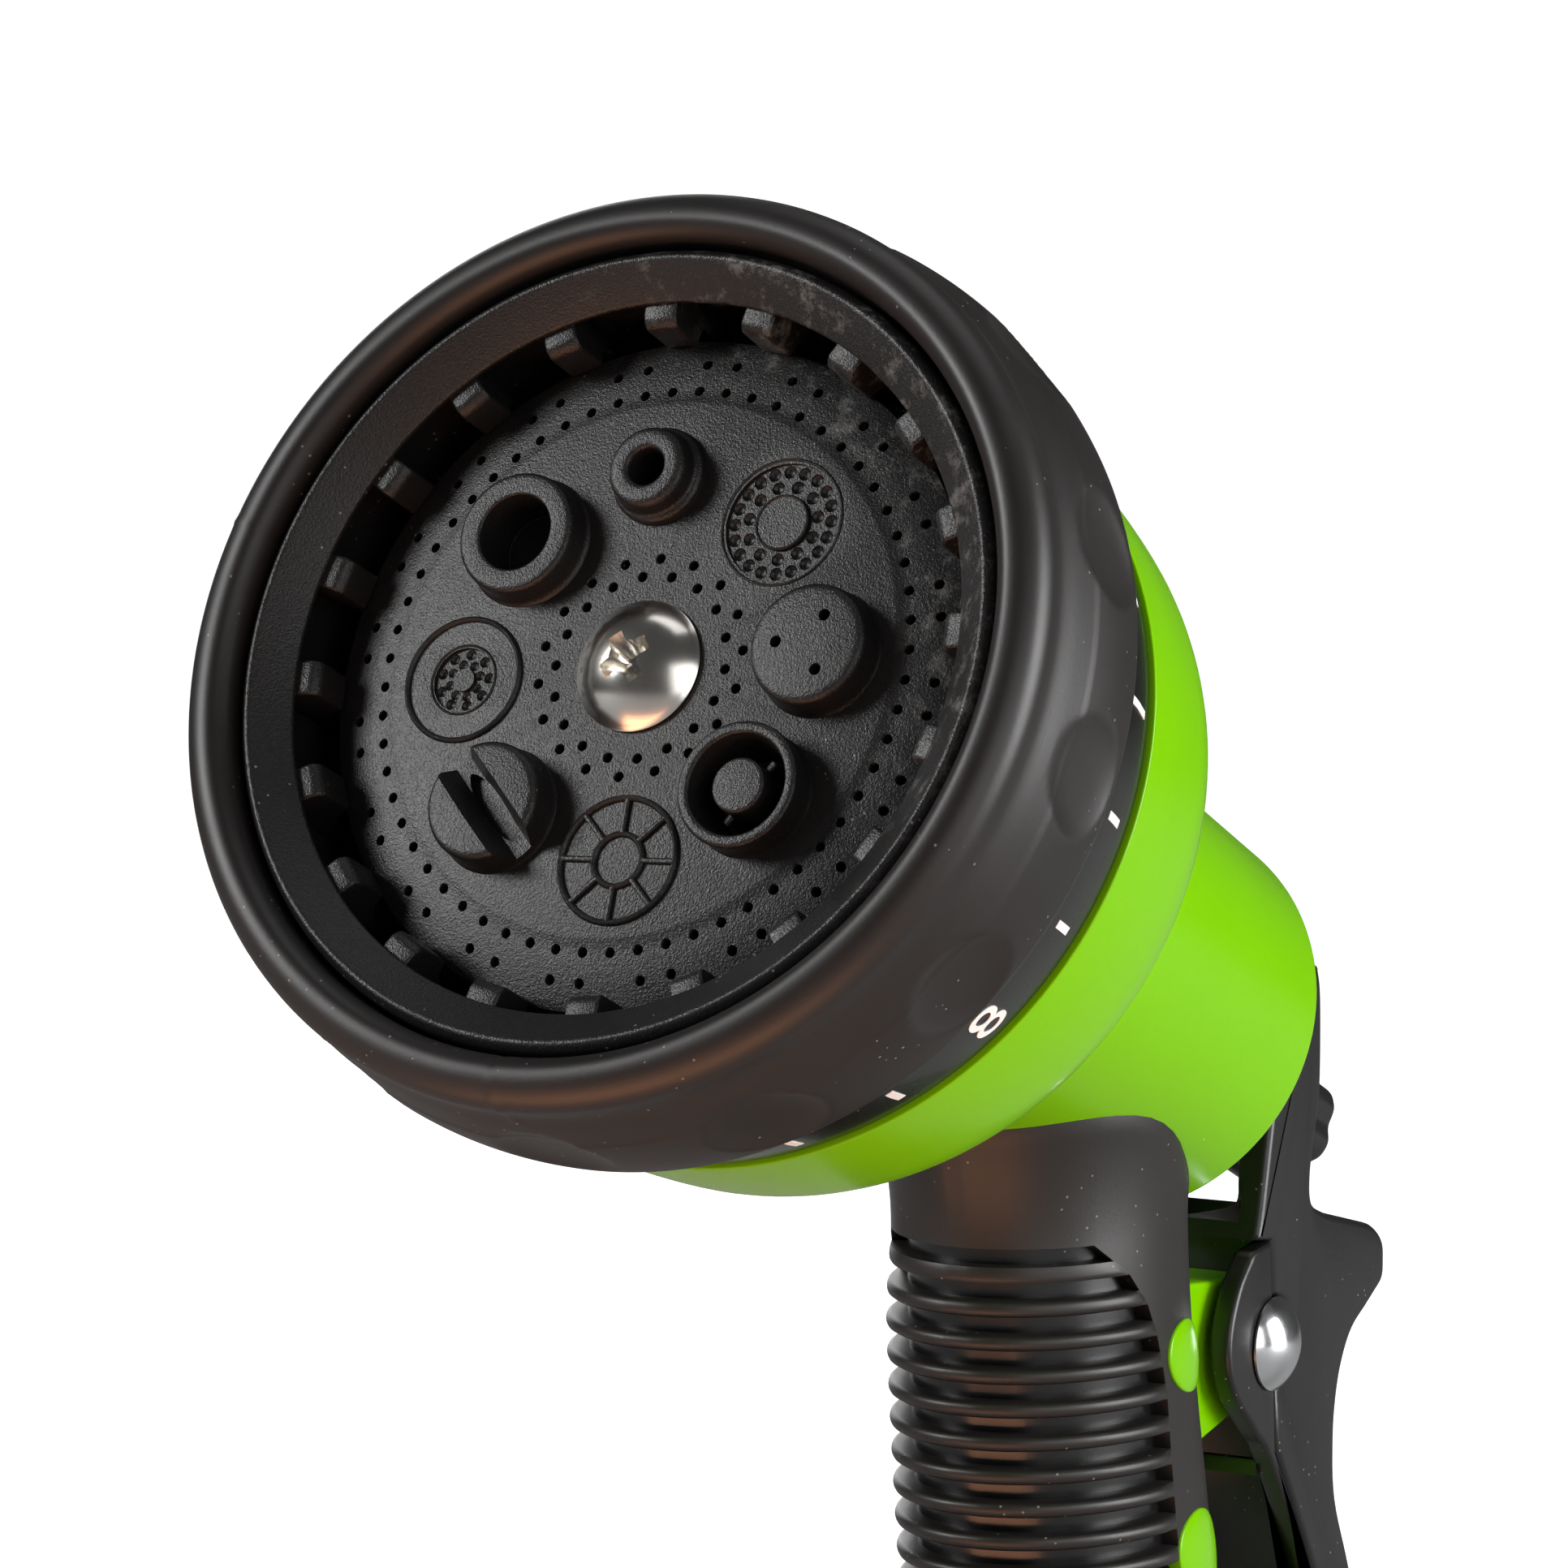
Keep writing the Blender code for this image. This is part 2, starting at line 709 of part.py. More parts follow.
def section(z, angle, inset):
    """A point of the handle's oval at height z; the angle in degrees is counted from the front."""
    top = PLATE_HEIGHT - 54.0
    flare = np.clip((z - top) / 14.0, 0.0, 1.0) ** 2
    middle = (top + SLEEVE_END) / 2
    swell = HANDLE_SWELL * np.exp(-(((z - middle) / 30.0) ** 2))
    tail = np.clip((SLEEVE_END + 20.0 - z) / 26.0, 0.0, 1.0) ** 2
    across = HANDLE_A + 2.6 * flare + 0.5 * swell - 0.3 * tail - inset
    deep = HANDLE_B + 4.0 * flare + swell - 2.6 * tail - inset
    turn = np.radians(angle)
    if math.cos(turn) < 0:
        deep += HANDLE_HEEL * ease((top + 3.0 - z) / 36.0) * (1 - 0.7 * ease((SLEEVE_END + 36.0 - z) / 40.0))
    return (across * math.sin(turn), axis_y(z) - deep * math.cos(turn), z)


def heights(low, high, count):
    return np.linspace(low, high, count)


def handle_core():
    """Solid green core: thin under the liner, thicker under the sleeve's edges, full at the back."""
    front = SLEEVE_T + LINER_T + 2 * GAP
    side = SLEEVE_T + GAP
    steps = [
        *((angle, front) for angle in np.linspace(-LINER_EDGE, LINER_EDGE, 11)),
        *((angle, side) for angle in np.linspace(LINER_EDGE + 3, SLEEVE_EDGE + 2, 5)),
        *((angle, 0.0) for angle in np.linspace(SLEEVE_EDGE + 6, 354 - SLEEVE_EDGE, 7)),
        *((angle, side) for angle in np.linspace(358 - SLEEVE_EDGE, 357 - LINER_EDGE, 5)),
    ]
    levels = heights(CORE_END, PLATE_HEIGHT - 35.0, 22)
    rings = []
    for z in levels:
        ring = [section(z, angle, inset) for angle, inset in steps]
        rings.append([(x, min(y, back_limit(z)), z) for x, y, z in ring])
    return rings


def back_limit(z):
    """The core's back leans in under the neck, so that it ends short of the neck's rear face."""
    corner_y = -NECK_REAR * math.cos(TILT) - (NECK_R - NECK_TAPER) * math.sin(TILT) - PLATE_REACH
    corner_z = PLATE_HEIGHT + NECK_REAR * math.sin(TILT) - (NECK_R - NECK_TAPER) * math.cos(TILT)
    if z > corner_z:
        return corner_y - 0.6 + (z - corner_z) * math.tan(TILT)
    return corner_y - 0.6 + (corner_z - z) * 0.9


def body_housing():
    """Neck tube, handle core, trigger lug and window bosses in one moulding."""
    end = NECK_R - NECK_TAPER
    body = turned(
        "body_housing",
        [
            (0.0, NECK_FRONT),
            (NECK_R, NECK_FRONT),
            (end, NECK_REAR + 1.0),
            (end - 1.0, NECK_REAR),
            (0.0, NECK_REAR),
        ],
        "green",
        HEAD,
        steps=40,
        closed=False,
    )
    join(body, loft("core_loft", handle_core()))
    lug = [
        (-12.4, 7.2),
        (-5.0, 6.3),
        *arc((0.0, 0.0), LUG_R, 85, -85, 8),
        (-12.4, -8.6),
    ]
    join(body, prism("trigger_lug", lug, LUG_HALF, matrix=PIVOT))
    levels = heights(SLEEVE_END, PLATE_HEIGHT - 40.0, 16)
    around = np.arange(0, 360, 15)
    skin = loft("handle_skin", [[section(z, angle, 0.1) for angle in around] for z in levels])
    for index in range(WINDOWS):
        boss = prism(f"window_boss_{index}", window_oval(index, 0.0), HANDLE_A + 2.0)
        keep(boss, skin)
        join(body, boss)
    bore = turned(
        "neck_bore",
        [
            (0.0, NECK_FRONT + 5.0),
            (NECK_BORE, NECK_FRONT + 5.0),
            (NECK_BORE, NECK_REAR + NECK_END_WALL),
            (0.0, NECK_REAR + NECK_END_WALL),
        ],
        None,
        HEAD,
        closed=False,
    )
    gland_hole = solid(
        "gland_hole",
        lambda shape: add_rod(shape, 0, 0, NECK_REAR - 5, NECK_REAR + NECK_END_WALL + 2, GLAND_R + GAP),
        matrix=HEAD,
    )
    levels = heights(CORE_END - 2.0, PLATE_HEIGHT - 30.0, 12)
    around = np.radians(np.arange(0, 360, 22.5))
    passage = loft(
        "water_passage",
        [
            [(PASSAGE_R * math.cos(a), axis_y(z) + PASSAGE_R * math.sin(a), z) for a in around]
            for z in levels
        ],
    )
    rivet_hole = solid(
        "lug_hole",
        lambda shape: add_rod(
            shape, 0, 0, -20, 20, RIVET_R + GAP, turn=Matrix.Rotation(math.pi / 2, 4, "Y")
        ),
        matrix=PIVOT,
    )
    cut(body, bore, gland_hole, passage, rivet_hole)


def window_oval(index, grow):
    """Outline of one oval side window, seen along X."""
    z = WINDOW_TOP - index * WINDOW_PITCH
    y = axis_y(z) + WINDOW_BACK
    tall = 3.4 + (0.7 if index else 0.0) + grow
    wide = 5.4 + (0.2 if index else 0.0) + grow
    angles = np.radians(np.arange(0, 360, 30))
    return [(y + wide * math.cos(a), z + tall * math.sin(a)) for a in angles]


def grip_liner():
    outer = [(angle, SLEEVE_T + GAP) for angle in np.linspace(-LINER_EDGE, LINER_EDGE, 11)]
    inner = [
        (angle, SLEEVE_T + GAP + LINER_T) for angle in np.linspace(LINER_EDGE, -LINER_EDGE, 11)
    ]
    top = RIB_TOP + 3.0
    levels = heights(SLEEVE_END + 2.0, top, 14)
    loft(
        "grip_liner",
        [[section(z, angle, inset) for angle, inset in outer + inner] for z in levels],
        "gloss_black",
    )


def handle_sleeve():
    """Rubber sleeve, open along the back, with crosswise ribs round its front."""
    angles = np.linspace(-SLEEVE_EDGE, SLEEVE_EDGE, 17)
    levels = [SLEEVE_END, SLEEVE_END + 6.0]
    rib_low = RIB_TOP - RIBS * RIB_PITCH
    levels += [rib_low + step * RIB_PITCH / 2 for step in range(2 * RIBS + 1)]
    levels += list(heights(RIB_TOP + 3.0, PLATE_HEIGHT - 37.0, 5))
    rings = []
    for z in levels:
        place_in_rib = (z - rib_low) / (RIB_PITCH / 2)
        groove = RIB_DEPTH if 0 < place_in_rib < 2 * RIBS and round(place_in_rib) % 2 else 0.0
        ring = [section(z, a, groove if abs(a) < 86 else 0.0) for a in angles]
        ring += [section(z, a, SLEEVE_T) for a in reversed(angles)]
        rings.append(ring)
    sleeve = loft("handle_sleeve", rings, "rubber")
    neck = turned(
        "neck_space",
        [
            (0.0, NECK_FRONT + 6.0),
            (NECK_R + GAP, NECK_FRONT + 6.0),
            (NECK_R - NECK_TAPER + GAP, NECK_REAR - 4.0),
            (0.0, NECK_REAR - 4.0),
        ],
        None,
        HEAD,
        steps=40,
        closed=False,
    )
    cut(sleeve, neck)
    for index in range(WINDOWS):
        cut(sleeve, prism(f"window_hole_{index}", window_oval(index, GAP), 30.0))


# --- valve ---------------------------------------------------------------------------------
def valve():
    seat_rear = SEAT_Z - SEAT_T
    seal_rear = seat_rear - GAP - 2.0
    poppet = seal_rear - GAP
    turned(
        "valve_seat",
        [
            (SEAT_BORE, SEAT_Z),
            (NECK_BORE - GAP, SEAT_Z),
            (NECK_BORE - GAP, seat_rear),
            (SEAT_BORE + 0.8, seat_rear),
            (SEAT_BORE, seat_rear + 0.8),
        ],
        "brass",
        HEAD,
        steps=32,
    )
    turned(
        "poppet_seal",
        [
            (STEM_R - 0.6 + GAP, seat_rear - GAP),
            (POPPET_R - 0.4, seat_rear - GAP),
            (POPPET_R - 0.4, seal_rear),
            (STEM_R - 0.6 + GAP, seal_rear),
        ],
        "seal",
        HEAD,
        steps=24,
    )
    turned(
        "valve_stem",
        [
            (0.0, seat_rear + 1.0),
            (STEM_R - 0.6, seat_rear + 1.0),
            (STEM_R - 0.6, poppet),
            (POPPET_R, poppet),
            (POPPET_R, poppet - 2.6),
            (STEM_R, poppet - 3.6),
            (STEM_R, KNOB_FRONT - KNOB_LENGTH + 3.0),
            (0.0, KNOB_FRONT - KNOB_LENGTH + 3.0),
        ],
        "brass",
        HEAD,
        steps=20,
        closed=False,
    )
    spring_front = poppet - 3.6 - STEM_TRAVEL - 1.0
    wall = NECK_REAR + NECK_END_WALL
    coil("valve_spring", 5.2, 0.55, wall + 1.2, spring_front, 4.5, "steel", HEAD)
    flange = NECK_REAR - GAP
    turned(
        "gland_nut",
        [
            (STEM_R + 2.2, wall + 0.6),
            (GLAND_R, wall + 0.6),
            (GLAND_R, flange),
            (GLAND_R + GLAND_FLANGE, flange),
            (GLAND_R + GLAND_FLANGE, flange - GLAND_PROUD),
            (STEM_R + GAP, flange - GLAND_PROUD),
            (STEM_R + GAP, flange),
            (STEM_R + 2.2, flange),
        ],
        "satin_black",
        HEAD,
        steps=24,
    )
    turned(
        "stem_oring",
        arc((STEM_R + GAP + 0.7, flange + 1.3), 0.7, 90, -270, 9)[:-1],
        "seal",
        HEAD,
        steps=20,
    )


def flow_knob():
    rear = KNOB_FRONT - KNOB_LENGTH
    bore = STEM_R + GAP
    knob = turned(
        "flow_knob",
        [
            (bore, KNOB_FRONT),
            (KNOB_R - 1.0, KNOB_FRONT),
            (KNOB_R, KNOB_FRONT - 1.0),
            (KNOB_R, rear + 1.6),
            (KNOB_R - 1.6, rear),
            (0.0, rear),
            (0.0, rear + 2.4),
            (bore, rear + 2.4),
        ],
        "satin_black",
        HEAD,
        steps=32,
    )

    def flutes(shape):
        for index in range(KNOB_LOBES):
            angle = 2 * math.pi * (index + 0.5) / KNOB_LOBES
            x = (KNOB_R + 0.7) * math.cos(angle)
            y = (KNOB_R + 0.7) * math.sin(angle)
            add_rod(shape, x, y, rear - 1, KNOB_FRONT + 1, 1.5, segments=10)

    cut(knob, solid("knob_flutes", flutes, matrix=HEAD))
    turned(
        "knob_washer",
        [
            (bore, KNOB_FRONT + GAP + 1.2),
            (KNOB_R - 1.9, KNOB_FRONT + GAP + 1.2),
            (KNOB_R - 1.9, KNOB_FRONT + GAP),
            (bore, KNOB_FRONT + GAP),
        ],
        "steel",
        HEAD,
        steps=20,
    )


# --- trigger -------------------------------------------------------------------------------
# Points are (y, z) from the rivet. The lower end is tied to the handle's length.
def lower_end():
    """How much longer or shorter the trigger hangs than on the standard handle."""
    return (PIVOT_Z - CORE_END) - 98.6


def trigger_back():
    """Rear edge, top to bottom: arm, hand horn, palm hollow and long lower sweep."""
    more = lower_end()
    arm = through([(9.6, 33.6), (10.4, 30.5), (10.4, 22.0), (9.2, 17.6), (8.4, 14.0), (9.3, 11.5)], 3)
    horn = [(12.0, 10.1), (22.6, 7.4), (24.4, 6.6), (25.2, 5.2), (25.2, 2.4), (24.4, 1.2)]
    palm = [(21.1, -0.1), (17.9, -1.9), (15.8, -4.5), (14.6, -7.6), (14.1, -11.4), (14.6, -17.0)]
    sweep = [(17.9, -24.1), (22.4, -35.0), (25.4, -48.0 - 0.4 * more), (26.4, -61.0 - 0.7 * more)]
    tail = [(25.4, -73.0 - more), (23.4, -80.5 - more)]
    return arm + horn + through(palm + sweep + tail, 2)


def trigger_front():
    """Front edge, bottom to top."""
    more = lower_end()
    lower = [(16.6, -79.0 - more), (18.4, -69.0 - more), (18.8, -60.0 - 0.7 * more)]
    sweep = [(17.6, -48.0 - 0.4 * more), (14.2, -35.0), (8.0, -22.4), (0.2, -11.0)]
    nose = [(-3.2, -7.7), (-7.2, -4.0), (-8.8, -0.9), (-8.8, 2.4), (-6.9, 6.1), (-4.0, 8.9), (-2.8, 11.1)]
    arm = [(-1.8, 14.8), (-0.7, 19.2), (1.8, 29.0), (3.6, 33.6)]
    return through(lower + sweep + nose + arm, 2)


def split_line(shift):
    """The joint between frame and cover, top to bottom, passing behind the rivet's eye."""
    more = lower_end()
    eye = arc((0.0, 0.0), EYE_R + shift, 88, -82, 7)
    below = [(1.2, -10.2), (4.9, -15.6), (9.2, -22.4), (15.6, -35.0)]
    end = [(18.9, -48.0 - 0.4 * more), (19.6, -57.0 - 0.6 * more)]
    return [(-0.2 + shift, 9.4), *eye, *((y + shift, z) for y, z in below + end)]


def trigger_cover():
    """Outer half of the trigger: fork and cross arm, horn, and the palm's long back."""
    half_gap = GAP / 2
    front = trigger_front()
    split = split_line(half_gap)
    top = [p for p in front if p[1] > split[0][1] + 0.3]
    bottom = [p for p in front if p[1] < split[-1][1] - 0.3]
    outline = trigger_back() + bottom + split[::-1] + top
    cover = prism("trigger_cover", outline, TRIGGER_HALF, "satin_black", PIVOT)
    more = lower_end()
    back = through(
        [
            (12.0, 6.2),
            (12.0, -1.0),
            (11.4, -8.0),
            (12.2, -17.0),
            (15.6, -24.6),
            (20.0, -35.4),
            (23.0, -48.2 - 0.4 * more),
            (24.0, -61.0 - 0.7 * more),
            (23.0, -73.0 - more),
            (22.0, -77.0 - more),
        ],
        2,
    )
    channel = prism(
        "trigger_channel",
        [*back, (10.0, -77.0 - more), (-20.0, -40.0), (-20.0, 6.2)],
        CHANNEL_HALF,
        matrix=PIVOT,
    )
    arm = [(-20.0, 11.4), (5.6, 11.4), (5.4, 14.0), (6.2, 17.6), (7.4, 22.0), (7.4, 31.2), (-20.0, 31.2)]
    hollow = prism("arm_hollow", arm, CHANNEL_HALF, matrix=PIVOT)

    def slot(shape):
        add_box(shape, (-SLOT_HALF, -10.0, KNOB_FRONT), (SLOT_HALF, 4.6, NECK_REAR - 2))

    cut(cover, channel, hollow, solid("stem_slot", slot, matrix=HEAD))


def trigger_frame():
    """Inner half of the trigger: two front cheeks held together by cross ribs."""
    half_gap = GAP / 2
    split = split_line(-half_gap)
    front = trigger_front()
    edge = [p for p in front if split[-1][1] + 0.3 < p[1] < split[0][1] - 0.3]
    frame = prism("trigger_frame", split + edge, TRIGGER_HALF, "satin_black", PIVOT)
    more = lower_end()
    channel = prism(
        "frame_channel",
        [(-20.0, 20.0), (40.0, 20.0), (40.0, -90.0 - more), (-20.0, -90.0 - more)],
        CHANNEL_HALF,
        matrix=PIVOT,
    )
    cut(frame, channel)

    def ribs(shape):
        reach = CHANNEL_HALF + 0.5
        add_box(shape, (-reach, 0.6, -12.6), (reach, 1.7, -11.0))
        add_box(shape, (-reach, 13.9, -36.6), (reach, 15.2, -34.2))
        add_box(shape, (-reach, 17.6, -52.4 - 0.4 * more), (reach, 18.7, -50.0 - 0.4 * more))

    join(frame, solid("frame_ribs", ribs, matrix=PIVOT))
    turn = Matrix.Rotation(math.pi / 2, 4, "Y")
    bore = solid(
        "frame_bore",
        lambda shape: add_rod(shape, 0, 0, -20, 20, RIVET_R + GAP, turn=turn),
        matrix=PIVOT,
    )
    cut(frame, bore)


def pivot_rivet():
    turn = PIVOT @ Matrix.Rotation(math.pi / 2, 4, "Y")
    seat = TRIGGER_HALF + GAP
    dome_r = (RIVET_HEAD_R**2 + RIVET_HEAD_H**2) / (2 * RIVET_HEAD_H)
    edge = math.degrees(math.asin(min(1.0, RIVET_HEAD_R / dome_r)))
    right = arc((0.0, seat + RIVET_HEAD_H - dome_r), dome_r, 90, 90 - edge, 6)
    left = [(r, -h) for r, h in reversed(right)]
    turned(
        "pivot_rivet",
        [*right, (RIVET_R, seat), (RIVET_R, -seat), *left],
        "aluminium",
        turn,
        steps=24,
        closed=False,
    )


# --- hose nipple ---------------------------------------------------------------------------
def hose_nipple():
    top = CORE_END - GAP - WASHER_T - GAP
    shoulder = top - FLANGE_H
    groove = NIPPLE_LENGTH * 0.55
    turned(
        "hose_nipple",
        [
            (NIPPLE_BORE, top),
            (FLANGE_R, top),
            (FLANGE_R, shoulder),
            (NIPPLE_R - 1.2, shoulder - 0.6),
            (NIPPLE_R - 1.2, groove + 2.6),
            (NIPPLE_R, groove + 1.6),
            (NIPPLE_R, groove + 0.9),
            (NIPPLE_R - 1.4, groove + 0.9),
            (NIPPLE_R - 1.4, groove - 0.9),
            (NIPPLE_R, groove - 0.9),
            (NIPPLE_R, 1.0),
            (NIPPLE_R - 1.0, 0.0),
            (NIPPLE_BORE, 0.0),
        ],
        "gloss_black",
        steps=24,
    )
    turned(
        "nipple_oring",
        arc((NIPPLE_R - 0.15, groove), 0.78, 90, -270, 9)[:-1],
        "seal",
        steps=20,
    )
    turned(
        "inlet_washer",
        [
            (PASSAGE_R, top + GAP + WASHER_T),
            (NIPPLE_R, top + GAP + WASHER_T),
            (NIPPLE_R, top + GAP),
            (PASSAGE_R, top + GAP),
        ],
        "seal",
        steps=24,
    )
    rim = NIPPLE_BORE - GAP
    screen = turned(
        "inlet_filter",
        [(0.0, top - 1.0), (rim, top - 1.0), (rim, top - 2.2), (0.0, top - 2.2)],
        "steel",
        steps=24,
        closed=False,
    )

    def mesh_holes(shape):
        for index in range(6):
            angle = math.radians(60 * index)
            x = 0.58 * rim * math.cos(angle)
            y = 0.58 * rim * math.sin(angle)
            add_rod(shape, x, y, top - 4, top + 1, 0.19 * rim, segments=8)
        add_rod(shape, 0, 0, top - 4, top + 1, 0.19 * rim, segments=8)

    cut(screen, solid("filter_holes", mesh_holes))


PARTS, CUTTERS = start_scene()
spray_plate()
backing_plate()
dial_ring()
bezel_grip()
plate_screw()
head_shell()
port_manifold()
port_seal()
detent()
body_housing()
grip_liner()
handle_sleeve()
valve()
flow_knob()
trigger_cover()
trigger_frame()
pivot_rivet()
hose_nipple()
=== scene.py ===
"""Garden hose spray nozzle: its visible surfaces, finishes and studio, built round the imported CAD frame.

Sizes inside the pieces are in millimetres. to_mesh turns them into metres.
"""

import json
import math

import bmesh
import bpy
import numpy as np
from bpy.props import FloatProperty, FloatVectorProperty, IntProperty, PointerProperty
from mathutils import Matrix, Vector


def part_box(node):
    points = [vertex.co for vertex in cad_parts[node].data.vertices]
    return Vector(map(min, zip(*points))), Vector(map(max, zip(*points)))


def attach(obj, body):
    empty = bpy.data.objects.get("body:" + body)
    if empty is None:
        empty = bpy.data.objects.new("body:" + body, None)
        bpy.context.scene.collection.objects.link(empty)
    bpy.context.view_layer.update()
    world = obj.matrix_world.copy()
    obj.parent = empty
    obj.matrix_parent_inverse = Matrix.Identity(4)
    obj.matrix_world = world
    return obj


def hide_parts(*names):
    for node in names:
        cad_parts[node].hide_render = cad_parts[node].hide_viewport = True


bl_info = {
    "name": "Hose Spray Nozzle",
    "version": (1, 0, 0),
    "blender": (4, 5, 0),
    "location": "View3D > Sidebar > Nozzle",
    "description": "Builds the dial, head, handle and trigger of a garden spray nozzle",
    "category": "Add Mesh",
}

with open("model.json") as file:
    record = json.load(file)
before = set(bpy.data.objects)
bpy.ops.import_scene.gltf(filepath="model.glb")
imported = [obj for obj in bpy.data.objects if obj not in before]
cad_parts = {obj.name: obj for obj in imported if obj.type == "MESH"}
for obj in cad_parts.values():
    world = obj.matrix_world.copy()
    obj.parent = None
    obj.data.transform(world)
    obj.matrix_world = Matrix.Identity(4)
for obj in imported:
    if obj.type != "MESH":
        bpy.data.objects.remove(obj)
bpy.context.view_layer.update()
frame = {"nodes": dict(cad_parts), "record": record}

MM = 0.001
JOINTS = {joint["name"]: joint for joint in frame["record"]["behaviour"]["joints"]}
DIAL_CENTRE = np.array(JOINTS["dial_turn"]["pos_m"]) / MM
SPRAY_AXIS = np.array(JOINTS["dial_turn"]["axis"])
PIVOT = np.array(JOINTS["trigger_squeeze"]["pos_m"]) / MM
TILT_COS = -SPRAY_AXIS[1]
TILT_SIN = SPRAY_AXIS[2]
OUTLETS = 8


# --- sizes and colours that a user would change --------------------------------------------
def size(label, about, value, low=0.0, high=300.0):
    return FloatProperty(name=label, description=about, default=value, min=low, max=high, unit="NONE")


def count(label, about, value, low=3, high=4000):
    return IntProperty(name=label, description=about, default=value, min=low, max=high)


def colour(label, about, value):
    return FloatVectorProperty(
        name=label, description=about, subtype="COLOR", size=3, min=0.0, max=1.0, default=value
    )


class NozzleDialSizes(bpy.types.PropertyGroup):
    plate_radius: size("Plate radius", "Rim of the spray plate, in mm", 28.0)
    flat_radius: size("Flat radius", "Where the plate's flat middle ends, in mm", 21.9)
    outlet_pitch: size("Outlet pitch", "Radius of the ring of outlets, in mm", 15.8)
    boss_radius: size("Boss radius", "Radius of an outlet's boss, in mm", 5.05)
    first_outlet: size("First outlet", "Angle of the first outlet, in degrees", 6.4, -360.0, 360.0)
    pinhole_radius: size("Pinhole radius", "Radius of one spray hole, in mm", 0.41)
    tabs: count("Tabs", "Blocks that bridge from the ring to the plate", 20)
    bezel_radius: size("Bezel radius", "Widest radius of the rubber bezel, in mm", 38.6)
    dimples: count("Dimples", "Finger dimples round the bezel", 13)
    dimple_radius: size("Dimple radius", "Radius of one finger dimple, in mm", 4.9)
    dimple_depth: size("Dimple depth", "Depth of one finger dimple, in mm", 0.95)
    numeral_height: size("Numeral height", "Height of the dial's numbers, in mm", 5.0)


class NozzleHandleSizes(bpy.types.PropertyGroup):
    neck_radius: size("Neck radius", "Front radius of the green neck, in mm", 19.6)
    neck_end_radius: size("Neck end radius", "Rear radius of the green neck, in mm", 18.5)
    neck_end: size("Neck end", "Rear face behind the spray plate, in mm", 94.7)
    half_width: size("Half width", "Half of the handle's width, in mm", 12.25)
    half_depth: size("Half depth", "Half of the handle's depth, in mm", 15.7)
    sleeve_edge: size("Sleeve edge", "Rear edge of the sleeve round from the front, in degrees", 131.0)
    sleeve_thickness: size("Sleeve thickness", "Rubber thickness, in mm", 2.2)
    sleeve_end: size("Sleeve end", "Lower edge of the sleeve above the inlet, in mm", 24.0)
    first_slot: size("First slot", "Top of the first slot above the inlet, in mm", 131.0)
    slot_pitch: size("Slot pitch", "Distance from slot to slot, in mm", 2.97)
    slot_height: size("Slot height", "Height of one slot, in mm", 1.60)
    slots: count("Slots", "Slots down the front of the sleeve", 28)
    bead: size("Rib bead", "How far a rib stands out, in mm", 0.52)
    windows: count("Windows", "Green ovals on each side", 5, 1, 8)


class NozzleTriggerSizes(bpy.types.PropertyGroup):
    half_width: size("Half width", "Half of the trigger's width, in mm", 10.7)
    cheek: size("Cheek", "Wall of one side cheek, in mm", 2.2)
    edge_round: size("Edge round", "Radius of the trigger's moulded edges, in mm", 0.75)
    rivet_radius: size("Rivet head radius", "Radius of the rivet's head, in mm", 4.3)
    knob_radius: size("Knob radius", "Radius over the knob's lobes, in mm", 6.3)
    knob_lobes: count("Knob lobes", "Lobes round the flow knob", 8)


class NozzleFinishes(bpy.types.PropertyGroup):
    green: colour("Green", "Lime body and head", (0.172, 0.485, 0.0))
    plate: colour("Plate black", "Spray plate and its outlets", (0.0100, 0.0092, 0.0090))
    rubber: colour("Rubber", "Bezel and handle sleeve", (0.0105, 0.0088, 0.0082))
    gloss: colour("Gloss black", "Label band, liner and nipple", (0.003, 0.003, 0.0032))
    satin: colour("Satin black", "Trigger and knob", (0.0085, 0.0082, 0.0084))
    ink: colour("Ink", "Numbers on the dial", (0.80, 0.80, 0.79))
    nickel: colour("Nickel", "Screw", (0.80, 0.77, 0.72))
    aluminium: colour("Aluminium", "Rivet", (0.83, 0.84, 0.86))
    steel: colour("Steel", "Springs and washers", (0.62, 0.62, 0.63))
    brass: colour("Brass", "Valve stem and seat", (0.78, 0.57, 0.28))
    seal: colour("Seal rubber", "Sealing rings", (0.013, 0.013, 0.013))
    acetal: colour("Acetal", "White bearing plastic", (0.70, 0.70, 0.68))
    backdrop: colour("Backdrop", "Studio floor and wall", (0.36, 0.36, 0.36))


# --- shapes --------------------------------------------------------------------------------
def grid_faces(rows, columns, wrap_rows=False, wrap_columns=False):
    """Quads between neighbours of a rows x columns grid, counted row by row."""
    index = np.arange(rows * columns).reshape(rows, columns)
    if wrap_rows:
        index = np.vstack([index, index[:1]])
    if wrap_columns:
        index = np.hstack([index, index[:, :1]])
    corners = (index[:-1, :-1], index[:-1, 1:], index[1:, 1:], index[1:, :-1])
    return np.stack([corner.ravel() for corner in corners], axis=1)


def skin(points, wrap_rows=False, wrap_columns=False):
    """(vertices, faces) of a grid of points shaped rows x columns x 3."""
    rows, columns = points.shape[:2]
    return points.reshape(-1, 3), grid_faces(rows, columns, wrap_rows, wrap_columns)


def thick(outer, inner):
    """Closed shell between two grids of the same shape, with a rim of quads round all four sides."""
    rows, columns = outer.shape[:2]
    faces = grid_faces(rows, columns)
    index = np.arange(rows * columns).reshape(rows, columns)
    rim = np.concatenate([index[0], index[1:, -1], index[-1, -2::-1], index[-2:0:-1, 0]])
    following = np.roll(rim, -1)
    under = rows * columns
    sides = np.stack([following, rim, rim + under, following + under], axis=1)
    return (
        np.concatenate([outer.reshape(-1, 3), inner.reshape(-1, 3)]),
        np.concatenate([faces, faces[:, ::-1] + under, sides]),
    )


